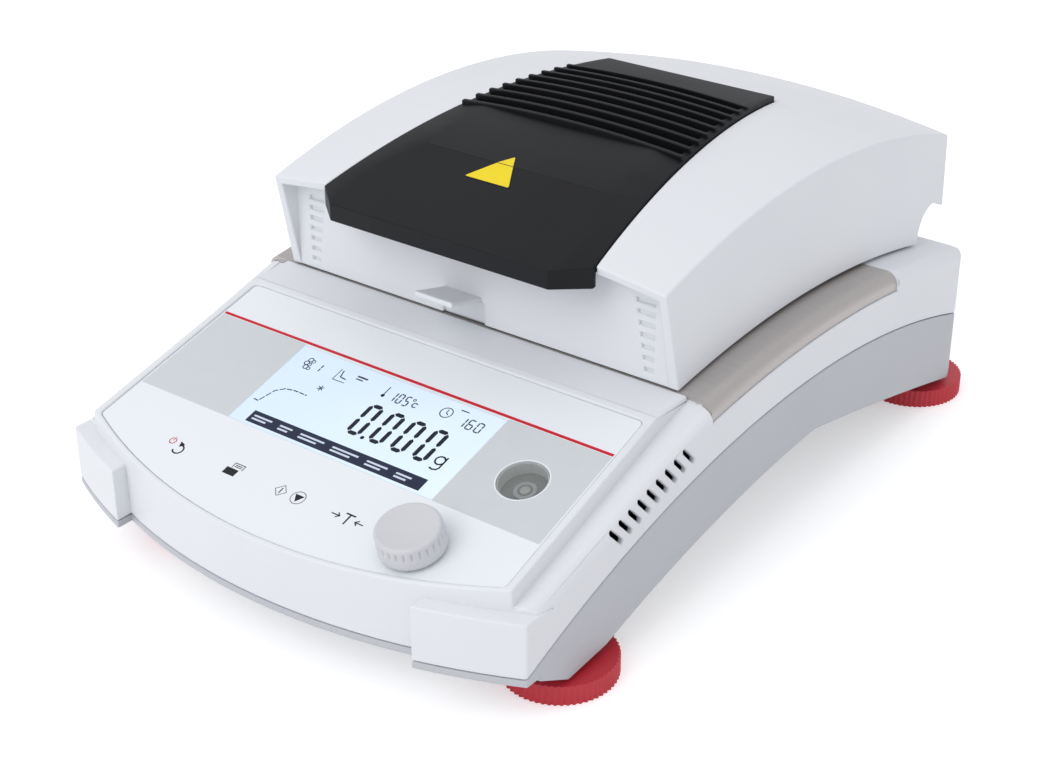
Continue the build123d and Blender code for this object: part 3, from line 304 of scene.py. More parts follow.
def perforatedSheet(name, look):
    # black painted sheet punched with round holes of about 1.2 mm in straight rows; the holes are
    # coloured near-black as painted shade of the dark space behind them
    material, tree, shader, place = startMaterial(name, look["colour"], punchSet["rough"])
    holes = addNode(
        tree,
        "ShaderNodeTexVoronoi",
        {"Scale": 1 / (punchSet["pitch"] * mm), "Randomness": 0.0},
        {"Vector": place},
    )
    edge = addNode(
        tree,
        "ShaderNodeMapRange",
        {
            "From Min": punchSet["inner"],
            "From Max": punchSet["outer"],
            "To Min": 0.0,
            "To Max": 1.0,
        },
        {"Value": holes.outputs["Distance"]},
    )
    # the hole colour is painted shade: it stands for the unlit space seen through each hole
    tint = addNode(
        tree,
        "ShaderNodeMix",
        {"data_type": "RGBA", 6: srgb(look["hole"]), 7: srgb(look["colour"])},
        {0: edge.outputs["Result"]},
    )
    tree.links.new(tint.outputs[2], shader.inputs["Base Color"])
    relief(tree, shader, edge.outputs["Result"], punchSet["depth"])
    return material


white = {"colour": "#E9EBEE", "shade": "#E4E6EA", "rough": 0.42}
finishes = {
    "white_housing": mouldedPlastic("whiteAbsHousing", white),
    "white_cover": mouldedPlastic("whiteHeatProofCover", white),
    "grey_housing": mouldedPlastic(
        "greyAbsHousing", {"colour": "#C4C6CB", "shade": "#BEC0C5", "rough": 0.45}
    ),
    "panel_film": printedFilm(
        "printedPolyester", {"colour": "#F0F3F7", "shade": "#EBEFF4", "rough": 0.3}
    ),
    "display_window": litDisplay(
        "backlitDisplay", {"low": "#CFE2FA", "high": "#E6F4FF", "glow": 0.14}
    ),
    "display_body": mouldedPlastic(
        "blackDisplayCase", {"colour": "#2A2C30", "shade": "#232529", "rough": 0.5}
    ),
    "circuit_board": solderMask(
        "greenSolderMask", {"colour": "#1F5B3C", "shade": "#1B5236", "track": "#3E8A5F"}
    ),
    "level_glass": clearGlass(
        "vialGlass", {"colour": "#E9EEE6", "shade": "#DDE5DC", "alpha": 0.12}
    ),
    "key_plastic": mouldedPlastic(
        "keyAcetal", {"colour": "#D7D9DC", "shade": "#CFD1D5", "rough": 0.45}
    ),
    "switch_body": mouldedPlastic(
        "blackNylon", {"colour": "#1B1C1F", "shade": "#242529", "rough": 0.55}
    ),
    "knob_plastic": mouldedPlastic(
        "greyKnobAbs", {"colour": "#D2D3D6", "shade": "#CBCCD0", "rough": 0.38}
    ),
    "shaft_steel": brushedMetal(
        "turnedSteel", {"colour": "#B4B4B7", "shade": "#9D9DA1", "rough": 0.3, "line": 0.4}
    ),
    "foot_plastic": mouldedPlastic(
        "redNylonFoot", {"colour": "#CF2F3D", "shade": "#C22635", "rough": 0.42, "specular": 0.5}
    ),
    "insert_brass": brushedMetal(
        "turnedBrass", {"colour": "#C8A765", "shade": "#B0904F", "rough": 0.3, "line": 0.4}
    ),
    "chamber_steel": brushedMetal(
        "brushedStainless",
        {"colour": "#C3BEBC", "shade": "#B3AEAB", "rough": 0.46, "line": 0.5, "metallic": 0.6},
    ),
    "bowl_steel": brushedMetal(
        "spunStainless", {"colour": "#B5B3B1", "shade": "#A09E9C", "rough": 0.3, "line": 0.5}
    ),
    "pan_aluminium": brushedMetal(
        "pressedAluminiumFoil",
        {"colour": "#D4D5D7", "shade": "#C4C5C8", "rough": 0.28, "line": 0.6},
    ),
    "wire_steel": brushedMetal(
        "stainlessSheet", {"colour": "#A7A9AC", "shade": "#96989B", "rough": 0.32, "line": 0.5}
    ),
    "cell_aluminium": brushedMetal(
        "milledAluminium", {"colour": "#C3C5C8", "shade": "#AEB0B3", "rough": 0.35, "line": 0.8}
    ),
    "socket_plastic": mouldedPlastic(
        "blackSocket", {"colour": "#17181A", "shade": "#202124", "rough": 0.5}
    ),
    "socket_metal": brushedMetal(
        "nickelShell", {"colour": "#A6A8AB", "shade": "#929497", "rough": 0.3, "line": 0.4}
    ),
    "grille_plastic": mouldedPlastic(
        "blackHeatProofGrille",
        {"colour": "#0E0F14", "shade": "#0B0C10", "rough": 0.5, "specular": 0.25, "depth": 0.02},
    ),
    # its hole colour is painted shade of the dark space seen through the holes, not a colour of
    # the sheet
    "screen_metal": perforatedSheet(
        "blackPunchedScreen", {"colour": "#17181B", "hole": "#050506"}
    ),
    "frame_steel": brushedMetal(
        "zincPlatedSheet", {"colour": "#9A9CA0", "shade": "#86888C", "rough": 0.4, "line": 1.2}
    ),
    "lamp_glass": clearGlass(
        "quartzGlass", {"colour": "#F1F4F6", "shade": "#E6EAEE", "alpha": 0.35, "through": 0.6}
    ),
    "reflector_metal": brushedMetal(
        "polishedReflector", {"colour": "#DADBDC", "shade": "#CFD0D1", "rough": 0.14, "line": 1.5}
    ),
    "ceramic": mouldedPlastic(
        "glazedCeramic", {"colour": "#E4DED2", "shade": "#D9D2C4", "rough": 0.3}
    ),
    "screw_steel": brushedMetal(
        "platedScrew", {"colour": "#8E9093", "shade": "#7A7C80", "rough": 0.35, "line": 0.3}
    ),
}


def dressNodes():
    for entry in frame["record"]["subparts"]:
        mesh = frame["nodes"][entry["node"]].data
        mesh.materials.clear()
        mesh.materials.append(finishes[entry["material_slot"]])


# the sloped control panel, in mm: x across, v up the slope, h out of its face
panelTilt = radians(16.5)
panelStartY = -137.5
panelStartZ = 47.6


def onPanel(x, v, h=0.0):
    y = panelStartY + v * cos(panelTilt) - h * sin(panelTilt)
    z = panelStartZ + v * sin(panelTilt) + h * cos(panelTilt)
    return Vector((x, y, z)) * mm


def panelMatrix(x, v):
    turn = Matrix.Rotation(panelTilt, 4, "X")
    return Matrix.Translation(onPanel(x, v)) @ turn @ Matrix.Scale(mm, 4)


def pieceFrom(bm, name, material, body, smooth=None):
    bmesh.ops.recalc_face_normals(bm, faces=bm.faces)
    mesh = bpy.data.meshes.new(name)
    bm.to_mesh(mesh)
    bm.free()
    mesh.materials.append(material)
    if smooth:
        mesh.shade_smooth()
        mesh.set_sharp_from_angle(angle=radians(smooth))
    piece = bpy.data.objects.new(name, mesh)
    bpy.context.collection.objects.link(piece)
    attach(piece, body)
    return piece


def addPrism(bm, loop, low, high):
    # prism over a closed outline of (x, v) points on the panel
    lower = [bm.verts.new(onPanel(x, v, low)) for x, v in loop]
    upper = [bm.verts.new(onPanel(x, v, high)) for x, v in loop]
    bm.faces.new(lower)
    bm.faces.new(upper)
    count = len(loop)
    for i in range(count):
        j = (i + 1) % count
        bm.faces.new((lower[i], lower[j], upper[j], upper[i]))


def circlePoints(x, v, radius, count=40, start=0.0, arc=360.0):
    steps = count if arc == 360.0 else count + 1
    angles = [radians(start + arc * i / count) for i in range(steps)]
    return [(x + radius * cos(a), v + radius * sin(a)) for a in angles]


# share of a stroke's width that each straight run is lengthened by, so that corners close
strokeOverlap = 0.35


def strokeLoops(points, width, closed=False):
    # one quad for each straight run
    loops = []
    ends = points[1:] + points[:1] if closed else points[1:]
    for (ax, av), (bx, bv) in zip(points, ends):
        run = Vector((bx - ax, bv - av))
        along = run.normalized() * width * strokeOverlap
        side = Vector((-run.y, run.x)).normalized() * width / 2
        a, b = Vector((ax, av)) - along, Vector((bx, bv)) + along
        loops.append([tuple(p) for p in (a - side, b - side, b + side, a + side)])
    return loops


# rounding allowance for a dash that is drawn in parts, in mm
nearZero = 1e-6


def dashLoops(points, width, dash, gap):
    # dashes laid along a run of straight pieces
    loops, wait, drawn = [], 0.0, 0.0
    for a, b in zip(points, points[1:]):
        a, b = Vector(a), Vector(b)
        length, along, at = (b - a).length, (b - a).normalized(), 0.0
        while at < length:
            step = min(length - at, (dash - drawn) if wait <= 0 else wait)
            if wait <= 0:
                start, end = a + along * at, a + along * (at + step)
                loops += strokeLoops([tuple(start), tuple(end)], width)
                drawn += step
                if drawn >= dash - nearZero:
                    wait, drawn = gap, 0.0
            else:
                wait -= step
            at += step
    return loops


segmentEnds = {
    "a": ((0, 1), (1, 1)),
    "b": ((1, 1), (1, 0.5)),
    "c": ((1, 0.5), (1, 0)),
    "d": ((0, 0), (1, 0)),
    "e": ((0, 0.5), (0, 0)),
    "f": ((0, 1), (0, 0.5)),
    "g": ((0, 0.5), (1, 0.5)),
}
segmentSigns = {"0": "abcdef", "1": "bc", "5": "acdfg", "6": "acdefg"}
# gap at each end of a bar, as a share of its thickness
segmentGap = 0.14


def segmentLoops(sign, left, low, width, height, thick):
    # bevelled bars of a seven-segment figure inside its box
    startX, startV = left + thick / 2, low + thick / 2
    loops = []
    for key in segmentSigns[sign]:
        start, end = (
            Vector((startX + x * (width - thick), startV + v * (height - thick)))
            for x, v in segmentEnds[key]
        )
        along = (end - start).normalized()
        side = Vector((-along.y, along.x)) * thick / 2
        a, b = start + along * thick * segmentGap, end - along * thick * segmentGap
        inner = along * thick / 2
        outline = (a, a + inner - side, b - inner - side, b, b - inner + side, a + inner + side)
        loops.append([tuple(p) for p in outline])
    return loops


def printPiece(name, loops, material, high):
    bm = bmesh.new()
    for loop in loops:
        addPrism(bm, loop, 0.0, high)
    return pieceFrom(bm, name, material, "base")


labelSet = {
    "bandLow": 19.1,
    "bandHigh": 61.0,
    "displayHalf": 45.8,
    "frontHalf": 89.4,
    "lean": 0.0341,
    "level": (67.1, 39.7),
    "levelHole": 9.3,
    "holePoints": 64,
    "windowGap": 0.1,
    "fieldTop": 0.02,
    "lineLow": 61.3,
    "lineHigh": 62.5,
    "lineTop": 0.03,
}
greyInk = {"colour": "#D3D7DA", "shade": "#CFD3D7"}
redInk = {"colour": "#D21F32", "shade": "#C81B2E"}


def labelHalf(v):
    return labelSet["frontHalf"] - labelSet["lean"] * v


def makeLabel():
    # printed on the polyester label: two grey fields and the red line above them
    low, high = labelSet["bandLow"], labelSet["bandHigh"]
    inner = labelSet["displayHalf"] + labelSet["windowGap"]
    grey = printInk("greyLabelInk", greyInk)
    left = [(-labelHalf(low), low), (-inner, low), (-inner, high), (-labelHalf(high), high)]
    printPiece("leftGreyField", [left], grey, labelSet["fieldTop"])
    bm = bmesh.new()
    outline = [(inner, low), (labelHalf(low), low), (labelHalf(high), high), (inner, high)]
    hole = circlePoints(*labelSet["level"], labelSet["levelHole"], labelSet["holePoints"])
    edges = []
    for ring in (outline, hole):
        corners = [bm.verts.new(onPanel(x, v, 0.0)) for x, v in ring]
        edges += [bm.edges.new(pair) for pair in zip(corners, corners[1:] + corners[:1])]
    bmesh.ops.triangle_fill(bm, use_beauty=True, edges=edges)
    raised = bmesh.ops.extrude_face_region(bm, geom=bm.faces[:])
    lifted = [item for item in raised["geom"] if isinstance(item, bmesh.types.BMVert)]
    lift = onPanel(0, 0, labelSet["fieldTop"]) - onPanel(0, 0, 0)
    bmesh.ops.translate(bm, vec=lift, verts=lifted)
    pieceFrom(bm, "rightGreyField", grey, "base")
    red = printInk("redLabelInk", redInk)
    low, high = labelSet["lineLow"], labelSet["lineHigh"]
    line = [
        (-labelHalf(low), low),
        (labelHalf(low), low),
        (labelHalf(high), high),
        (-labelHalf(high), high),
    ]
    printPiece("redLabelLine", [line], red, labelSet["lineTop"])


# the display's marks, in mm on the panel
displaySet = {
    "digits": ((-2.5, "0"), (7.2, "0"), (16.6, "0"), (26.2, "0")),
    "digitLow": 31.4,
    "digitHeight": 15.6,
    "digitWidth": 6.3,
    "digitThick": 1.7,
    # small figures: sign, left, low, width, height
    "figures": (
        ("1", 0.9, 50.4, 2.2, 4.9),
        ("0", 3.9, 50.4, 2.2, 4.9),
        ("5", 6.9, 50.4, 2.2, 4.9),
        ("1", 30.8, 50.6, 2.6, 4.9),
        ("6", 34.2, 50.6, 2.6, 4.9),
        ("0", 37.8, 50.6, 2.6, 4.9),
        ("1", -33.6, 51.0, 2.0, 4.2),
    ),
    "figureThick": 0.5,
    # filled dots: x, v, radius, points
    "dots": ((5.4, 31.9, 0.8, 12), (-1.9, 51.6, 0.75, 14)),
    # rings: x, v, radius, points, line width
    "rings": (
        (10.2, 54.5, 0.5, 12, 0.3),
        (24.2, 54.3, 2.3, 32, 0.35),
        (-38.1, 55.0, 0.95, 16, 0.35),
        (-36.6, 54.7, 0.7, 12, 0.3),
        (-38.6, 53.2, 0.95, 16, 0.35),
        (-37.1, 52.9, 0.7, 12, 0.3),
        (-37.7, 51.4, 0.95, 16, 0.35),
        (-36.2, 51.1, 0.7, 12, 0.3),
        (36.9, 34.9, 1.8, 20, 0.62),
    ),
    # open arc of the unit's letter: x, v, radius, points, start and sweep in degrees
    "letterArc": (11.8, 52.4, 1.0, 14, 50, 260),
    "letterLine": 0.42,
    # lines: points, width
    "lines": (
        (((24.2, 55.8), (24.2, 54.3), (25.2, 53.6)), 0.35),
        (((28.4, 57.6), (31.4, 57.6)), 0.45),
        (((-24.2, 56.0), (-24.2, 50.6), (-19.0, 50.6)), 0.3),
        (((-23.0, 55.6), (-22.2, 52.6), (-19.6, 52.3)), 0.45),
        (((-16.2, 55.6), (-12.2, 55.6)), 0.7),
        (((-16.2, 54.3), (-13.4, 54.3)), 0.5),
        (((-1.9, 52.2), (-1.9, 56.0)), 0.4),
        (((38.7, 36.9), (38.7, 31.9), (38.1, 30.9), (36.8, 30.5), (35.5, 30.8)), 0.62),
    ),
    # dashed drying curve
    "curve": (
        (-43.4, 30.4),
        (-41.4, 30.2),
        (-39.3, 36.8),
        (-36.4, 39.2),
        (-32.5, 39.9),
        (-27.0, 39.8),
    ),
    # line width, dash, gap
    "curveDash": (0.45, 1.9, 0.8),
    "star": (-24.8, 44.9),
    "starReach": 1.25,
    "starTurns": (90, 30, 150),
    "starLine": 0.35,
    "markTop": 0.03,
    "bar": (-38.7, 20.5, 39.0, 26.0),
    "barTop": 0.02,
    "dashLengths": (9.0, 6.4, 11.5, 12.2, 9.6, 7.2),
    "dashMargin": 1.2,
    "dashGap": 3.1,
    "dashStart": 0.6,
    # rows of dashes: v, share of the word's length, cut at its end
    "dashRows": ((23.9, 1.0, 0.6), (22.4, 0.72, 0.0)),
    "dashLine": 0.75,
    "dashTop": 0.035,
}


def messageDashes():
    # the message itself isn't copied: plain dashes of uneven length stand for it
    loops, at = [], displaySet["bar"][0] + displaySet["dashMargin"]
    for length in displaySet["dashLengths"]:
        for v, share, cut in displaySet["dashRows"]:
            ends = [(at + displaySet["dashStart"], v), (at + length * share - cut, v)]
            loops += strokeLoops(ends, displaySet["dashLine"])
        at += length + displaySet["dashGap"]
    return loops


def makeDisplay():
    # dark liquid crystal segments: they stand a hair above the window's face
    dark = printInk("darkCrystal", {"colour": "#0B1224", "shade": "#101A30"})
    loops = []
    low, width = displaySet["digitLow"], displaySet["digitWidth"]
    height, thick = displaySet["digitHeight"], displaySet["digitThick"]
    for left, sign in displaySet["digits"]:
        loops += segmentLoops(sign, left, low, width, height, thick)
    for sign, left, low, width, height in displaySet["figures"]:
        loops += segmentLoops(sign, left, low, width, height, displaySet["figureThick"])
    for dot in displaySet["dots"]:
        loops.append(circlePoints(*dot))
    for x, v, radius, count, line in displaySet["rings"]:
        loops += strokeLoops(circlePoints(x, v, radius, count), line, closed=True)
    loops += strokeLoops(circlePoints(*displaySet["letterArc"]), displaySet["letterLine"])
    for points, line in displaySet["lines"]:
        loops += strokeLoops(points, line)
    loops += dashLoops(displaySet["curve"], *displaySet["curveDash"])
    x, v = displaySet["star"]
    for turn in displaySet["starTurns"]:
        across = displaySet["starReach"] * cos(radians(turn))
        upward = displaySet["starReach"] * sin(radians(turn))
        ray = [(x - across, v - upward), (x + across, v + upward)]
        loops += strokeLoops(ray, displaySet["starLine"])
    printPiece("crystalMarks", loops, dark, displaySet["markTop"])
    left, low, right, high = displaySet["bar"]
    bar = printInk("darkMessageBar", {"colour": "#16203A", "shade": "#26304A"})
    outline = [(left, low), (right, low), (right, high), (left, high)]
    printPiece("messageBar", [outline], bar, displaySet["barTop"])
    pale = printInk("paleCrystal", {"colour": "#DCE6F4", "shade": "#CBD8EA"})
    printPiece("messageDashes", messageDashes(), pale, displaySet["dashTop"])


# signs of the four membrane keys, in mm on the panel
keyMarkSet = {
    "top": 0.04,
    # power sign: x, v, radius, points, start and sweep in degrees
    "powerArc": (-55.1, 1.3, 1.3, 18, 115, 310),
    "powerStroke": ((-55.1, 1.5), (-55.1, 3.1)),
    "powerLine": 0.32,
    "backArc": (-50.3, -1.1, 2.0, 22, -150, 250),
    "backLine": 0.55,
    "solids": (
        ((-51.9, 2.3), (-50.9, -0.2), (-49.4, 1.5)),
        ((-28.1, -2.5), (-22.9, -2.5), (-22.9, 0.5), (-28.1, 0.5)),
        ((2.7, 1.2), (4.6, -1.9), (6.5, 1.2)),
    ),
    "lines": (
        (((-26.4, 0.9), (-26.4, 3.0), (-21.9, 3.0), (-21.9, 0.9)), 0.28),
        (((-25.6, 1.5), (-22.7, 1.5)), 0.3),
        (((-25.6, 2.2), (-22.7, 2.2)), 0.3),
        (((-3.1, -1.1), (-3.1, 1.1)), 0.42),
        (((24.4, 2.0), (28.0, 2.0)), 0.6),
        (((26.2, 2.0), (26.2, -2.2)), 0.6),
        (((19.6, 0.0), (22.8, 0.0)), 0.42),
        (((21.7, 1.0), (22.8, 0.0), (21.7, -1.0)), 0.42),
        (((32.6, 0.0), (29.4, 0.0)), 0.42),
        (((30.5, 1.0), (29.4, 0.0), (30.5, -1.0)), 0.42),
    ),
    "diamond": ((-3.1, -2.5), (-0.7, 0.0), (-3.1, 2.5), (-5.5, 0.0)),
    "diamondLine": 0.2,
    "stopRing": (4.6, 0.0, 2.7, 36),
    "stopLine": 0.22,
}


def makeKeyMarks():
    # screen-printed function signs
    black = printInk("blackLabelInk", {"colour": "#16181C", "shade": "#1C1E23"})
    red = printInk("redMarkInk", redInk)
    line = keyMarkSet["powerLine"]
    power = strokeLoops(circlePoints(*keyMarkSet["powerArc"]), line)
    power += strokeLoops(keyMarkSet["powerStroke"], line)
    printPiece("powerMark", power, red, keyMarkSet["top"])
    loops = strokeLoops(circlePoints(*keyMarkSet["backArc"]), keyMarkSet["backLine"])
    loops += keyMarkSet["solids"]
    for points, line in keyMarkSet["lines"]:
        loops += strokeLoops(points, line)
    loops += strokeLoops(keyMarkSet["diamond"], keyMarkSet["diamondLine"], closed=True)
    ring = circlePoints(*keyMarkSet["stopRing"])
    loops += strokeLoops(ring, keyMarkSet["stopLine"], closed=True)
    printPiece("keyMarks", loops, black, keyMarkSet["top"])


# reach in mm within which points of a turned profile are merged
mergeReach = 0.001


def spinProfile(profile, steps, matrix):
    # full turn of an (r, h) profile about the panel's normal, in mm until the matrix is applied
    bm = bmesh.new()
    points = [bm.verts.new((r, 0, h)) for r, h in profile]
    edges = [bm.edges.new(pair) for pair in zip(points, points[1:])]
    bmesh.ops.spin(
        bm,
        geom=points + edges,
        cent=(0, 0, 0),
        axis=(0, 0, 1),
        angle=2 * pi,
        steps=steps,
        use_merge=True,
    )
    bmesh.ops.remove_doubles(bm, verts=bm.verts, dist=mergeReach)
    bmesh.ops.transform(bm, matrix=matrix, verts=bm.verts)
    return bm


levelSet = {
    "place": (67.1, 39.7),
    "wall": ((8.62, -0.62), (8.62, -6.9), (8.2, -6.9), (8.2, -0.62), (8.62, -0.62)),
    "puck": (
        (0, -6.9),
        (8.15, -6.9),
        (8.15, -5.0),
        (7.9, -4.75),
        (4.6, -4.6),
        (4.4, -4.75),
        (0, -4.75),
    ),
    "ring": (
        (2.6, -4.8),
        (2.6, -4.5),
        (2.8, -4.4),
        (3.7, -4.4),
        (3.9, -4.5),
        (3.9, -4.8),
        (2.6, -4.8),
    ),
    "bubble": ((0, -4.8), (1.8, -4.8), (1.7, -4.45), (1.1, -4.2), (0, -4.1)),
    "steps": 64,
    "bubbleSteps": 48,
    "smooth": 40,
    "bubbleSmooth": 50,
    "wallLook": {"colour": "#A9AAAF", "shade": "#9FA0A6", "rough": 0.3},
    "puckLook": {"colour": "#26272F", "shade": "#2E2F38", "rough": 0.25, "specular": 0.5},
    "ringLook": {"colour": "#84858D", "shade": "#797A83", "rough": 0.25},
    "fluidLook": {"colour": "#8F9591", "shade": "#858B88", "rough": 0.12, "specular": 0.7},
}


def makeLevel():
    # circular spirit level: a vial in a dark ring at the bottom of a moulded well
    place = panelMatrix(*levelSet["place"])
    wall = mouldedPlastic("levelWellWall", levelSet["wallLook"])
    dark = mouldedPlastic("levelPuck", levelSet["puckLook"])
    ring = mouldedPlastic("levelRing", levelSet["ringLook"])
    fluid = mouldedPlastic("levelFluid", levelSet["fluidLook"])
    steps, smooth = levelSet["steps"], levelSet["smooth"]
    base = spinProfile(levelSet["puck"], steps, place)
    puck = pieceFrom(base, "levelPuck", dark, "base", smooth)
    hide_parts("level_vial")
    pieceFrom(spinProfile(levelSet["wall"], steps, place), "levelWell", wall, "base", smooth)
    pieceFrom(spinProfile(levelSet["ring"], steps, place), "levelRing", ring, "base", smooth)
    bubble = spinProfile(levelSet["bubble"], levelSet["bubbleSteps"], place)
    pieceFrom(bubble, "levelBubble", fluid, "base", levelSet["bubbleSmooth"])


knobSet = {
    "place": (54.0, 0.0),
    "grooves": 27,
    "perGroove": 12,
    "depth": 0.55,
    "grooveHalf": 0.2,
    "fadePower": 6,
    "low": 4.9,
    "high": 8.0,
    # only rings beyond this radius get grooves
    "inner": 5,
    "smooth": 50,
    "profile": (
        (0, 6.6),
        (3.05, 6.6),
        (3.05, 1.3),
        (10.9, 1.3),
        (11.2, 1.55),
        (11.25, 2.2),
        (11.15, 4.4),
        (11.12, 4.9),
        (11.1, 5.3),
        (11.08, 5.8),
        (11.05, 6.4),
        (11.02, 7.0),
        (11.0, 7.5),
        (10.98, 7.8),
        (10.97, 8.1),
        (10.95, 8.5),
        (10.85, 8.9),
        (10.6, 9.25),
        (10.2, 9.5),
        (9.85, 9.57),
        (9.7, 9.54),
        (9.6, 9.5),
        (0, 9.5),
    ),
}


def makeKnob():
    # turned grip with short grooves below its rounded rim, all drawn as one grid of rings
    steps = knobSet["grooves"] * knobSet["perGroove"]
    low, high = knobSet["low"], knobSet["high"]
    middle = (low + high) / 2
    bm = bmesh.new()
    rings = []
    for radius, height in knobSet["profile"]:
        if radius == 0:
            rings.append([bm.verts.new((0, 0, height))])
            continue
        fade = 0
        if low < height < high and radius > knobSet["inner"]:
            fade = 1 - (abs(height - middle) / (high - middle)) ** knobSet["fadePower"]
        ring = []
        for i in range(steps):
            share = (i % knobSet["perGroove"]) / knobSet["perGroove"]
            cut = max(0.0, 1 - abs(share - 0.5) / knobSet["grooveHalf"])
            reach = radius - cut * knobSet["depth"] * fade
            angle = 2 * pi * i / steps
            ring.append(bm.verts.new((reach * cos(angle), reach * sin(angle), height)))
        rings.append(ring)
    for lower, upper in zip(rings, rings[1:]):
        for i in range(steps):
            j = (i + 1) % steps
            if len(lower) == 1:
                bm.faces.new((lower[0], upper[j], upper[i]))
            elif len(upper) == 1:
                bm.faces.new((lower[i], lower[j], upper[0]))
            else:
                bm.faces.new((lower[i], lower[j], upper[j], upper[i]))
    bmesh.ops.transform(bm, matrix=panelMatrix(*knobSet["place"]), verts=bm.verts)
    knob = pieceFrom(bm, "groovedKnob", finishes["knob_plastic"], "knob", knobSet["smooth"])
    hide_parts("control_knob")


# width of the round in mm, and the least turn in degrees of an edge that gets it
softenSet = {
    "upper_housing": {"width": 0.7, "angle": 32},
    "lower_housing": {"width": 0.6, "angle": 32},
    "cover_shell": {"width": 0.7, "angle": 32},
    "vent_grille": {"width": 0.35, "angle": 32},
    "front_right_foot": {"width": 0.12, "angle": 60},
    "front_left_foot": {"width": 0.12, "angle": 60},
    "rear_right_foot": {"width": 0.12, "angle": 60},
    "rear_left_foot": {"width": 0.12, "angle": 60},
}
# merge reach in mm, flat limit and shading limit in degrees
softenMerge = 0.002
softenFlat = 0.6
softenSmooth = 28
softenSegments = 3


def softenNodes():
    # moulded edges are never knife sharp: a copy of the node gets a small round on each
    slots = {entry["node"]: entry["material_slot"] for entry in frame["record"]["subparts"]}
    bodies = {}
    for body, nodes in frame["record"]["behaviour"]["bodies"].items():
        bodies.update({node: body for node in nodes})
    for node, look in softenSet.items():
        source = frame["nodes"][node]
        bm = bmesh.new()
        bm.from_mesh(source.data)
        bm.transform(source.matrix_world)
        bmesh.ops.remove_doubles(bm, verts=bm.verts, dist=softenMerge * mm)
        bmesh.ops.dissolve_limit(
            bm, angle_limit=radians(softenFlat), verts=bm.verts, edges=bm.edges
        )
        least = radians(look["angle"])
        outer = [e for e in bm.edges if len(e.link_faces) == 2 and e.is_convex]
        bmesh.ops.bevel(
            bm,
            geom=[e for e in outer if e.calc_face_angle() > least],
            offset=look["width"] * mm,
            offset_type="OFFSET",
            affect="EDGES",
            segments=softenSegments,
            profile=0.5,
            clamp_overlap=False,
            material=-1,
        )
        name = "soft" + node.title().replace("_", "")
        piece = pieceFrom(bm, name, finishes[slots[node]], bodies[node], softenSmooth)
        weight = piece.modifiers.new("evenShading", "WEIGHTED_NORMAL")
        weight.keep_sharp = True
        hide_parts(node)


# hot-surface sticker: corners seen from above, in mm
stickerSet = {
    "corners": ((-11.8, -30.2), (-1.7, -14.3), (7.6, -30.2)),
    "radius": 0.9,
    "turnSteps": 5,
    "cell": 0.6,
    "under": 0.05,
    "edgeGrow": 0.6,
    "edgeTop": 0.12,
    "top": 0.17,
    "dropFrom": 200,
    "cutReach": 0.0001,
}


def treeOf(node):
    bm = bmesh.new()
    bm.from_mesh(frame["nodes"][node].data)
    bm.transform(frame["nodes"][node].matrix_world)
    tree = BVHTree.FromBMesh(bm)
    bm.free()
    return tree


def dropOn(tree, x, y, h):
    # point over a face, found by dropping a plumb line on the CAD surface
    hit = tree.ray_cast(Vector((x, y, stickerSet["dropFrom"])) * mm, Vector((0, 0, -1)))[0]
    return hit + Vector((0, 0, h * mm))


def roundedOutline(corners, radius):
    # corners cut back by the radius, with a few points on each turn
    points = []
    last = stickerSet["turnSteps"] - 1
    for i, corner in enumerate(corners):
        here = Vector(corner)
        before = (Vector(corners[i - 1]) - here).normalized() * radius
        after = (Vector(corners[(i + 1) % len(corners)]) - here).normalized() * radius
        for step in range(stickerSet["turnSteps"]):
            t = step / last
            points.append(tuple(here + before * (1 - t) ** 2 + after * t**2))
    return points


def grownCorners(grow):
    corners = [Vector(corner) for corner in stickerSet["corners"]]
    middle = sum(corners, Vector((0, 0))) / 3
    return [tuple(corner + (corner - middle).normalized() * grow) for corner in corners]


def drapedSheet(tree, outline, height):
    # thin film: a flat outline is cut into small squares, each point is dropped on the grille
    bm = bmesh.new()
    bm.faces.new([bm.verts.new((x, y, 0)) for x, y in outline])
    for axis, normal in ((0, (1, 0, 0)), (1, (0, 1, 0))):
        low = min(point[axis] for point in outline)
        high = max(point[axis] for point in outline)
        count = int((high - low) / stickerSet["cell"])
        for i in range(1, count + 1):
            bmesh.ops.bisect_plane(
                bm,
                geom=bm.verts[:] + bm.edges[:] + bm.faces[:],
                dist=stickerSet["cutReach"],
                plane_co=Vector(normal) * (low + i * (high - low) / (count + 1)),
                plane_no=normal,
            )
    for vert in bm.verts:
        vert.co = dropOn(tree, vert.co.x, vert.co.y, -stickerSet["under"])
    grown = bmesh.ops.extrude_face_region(bm, geom=bm.faces[:])["geom"]
    lifted = [item for item in grown if isinstance(item, bmesh.types.BMVert)]
    lift = (0, 0, (height + stickerSet["under"]) * mm)
    bmesh.ops.translate(bm, vec=lift, verts=lifted)
    return bm


def makeTriangle():
    # yellow vinyl with a black edge, laid on the grille and left blank
    tree = treeOf("vent_grille")
    yellow = printInk("yellowVinyl", {"colour": "#F7DE1C", "shade": "#F2D611"})
    black = printInk("blackVinyl", {"colour": "#191A1C", "shade": "#202124"})
    layers = (
        ("stickerEdge", stickerSet["edgeGrow"], stickerSet["edgeTop"], black),
        ("hotSurfaceSticker", 0.0, stickerSet["top"], yellow),
    )
    for name, grow, top, ink in layers:
        outline = roundedOutline(grownCorners(grow), stickerSet["radius"])
        pieceFrom(drapedSheet(tree, outline, top), name, ink, "cover")


studio = {
    "floorHalf": 3.0,
    "floorRough": 0.9,
    "floorColour": "#F4F4F5",
    "skyColour": "#F7F8FB",
    "ambient": 0.8,
    "keyPower": 14.0,
    "keyPlace": (-0.35, -1.7, 1.5),
    "keySize": 1.5,
    "topPower": 2.5,
    "topPlace": (0.0, 0.2, 2.2),
    "topSize": 1.8,
    "floorGlow": 0.4,
    "target": (0, 0, 0.05),
}


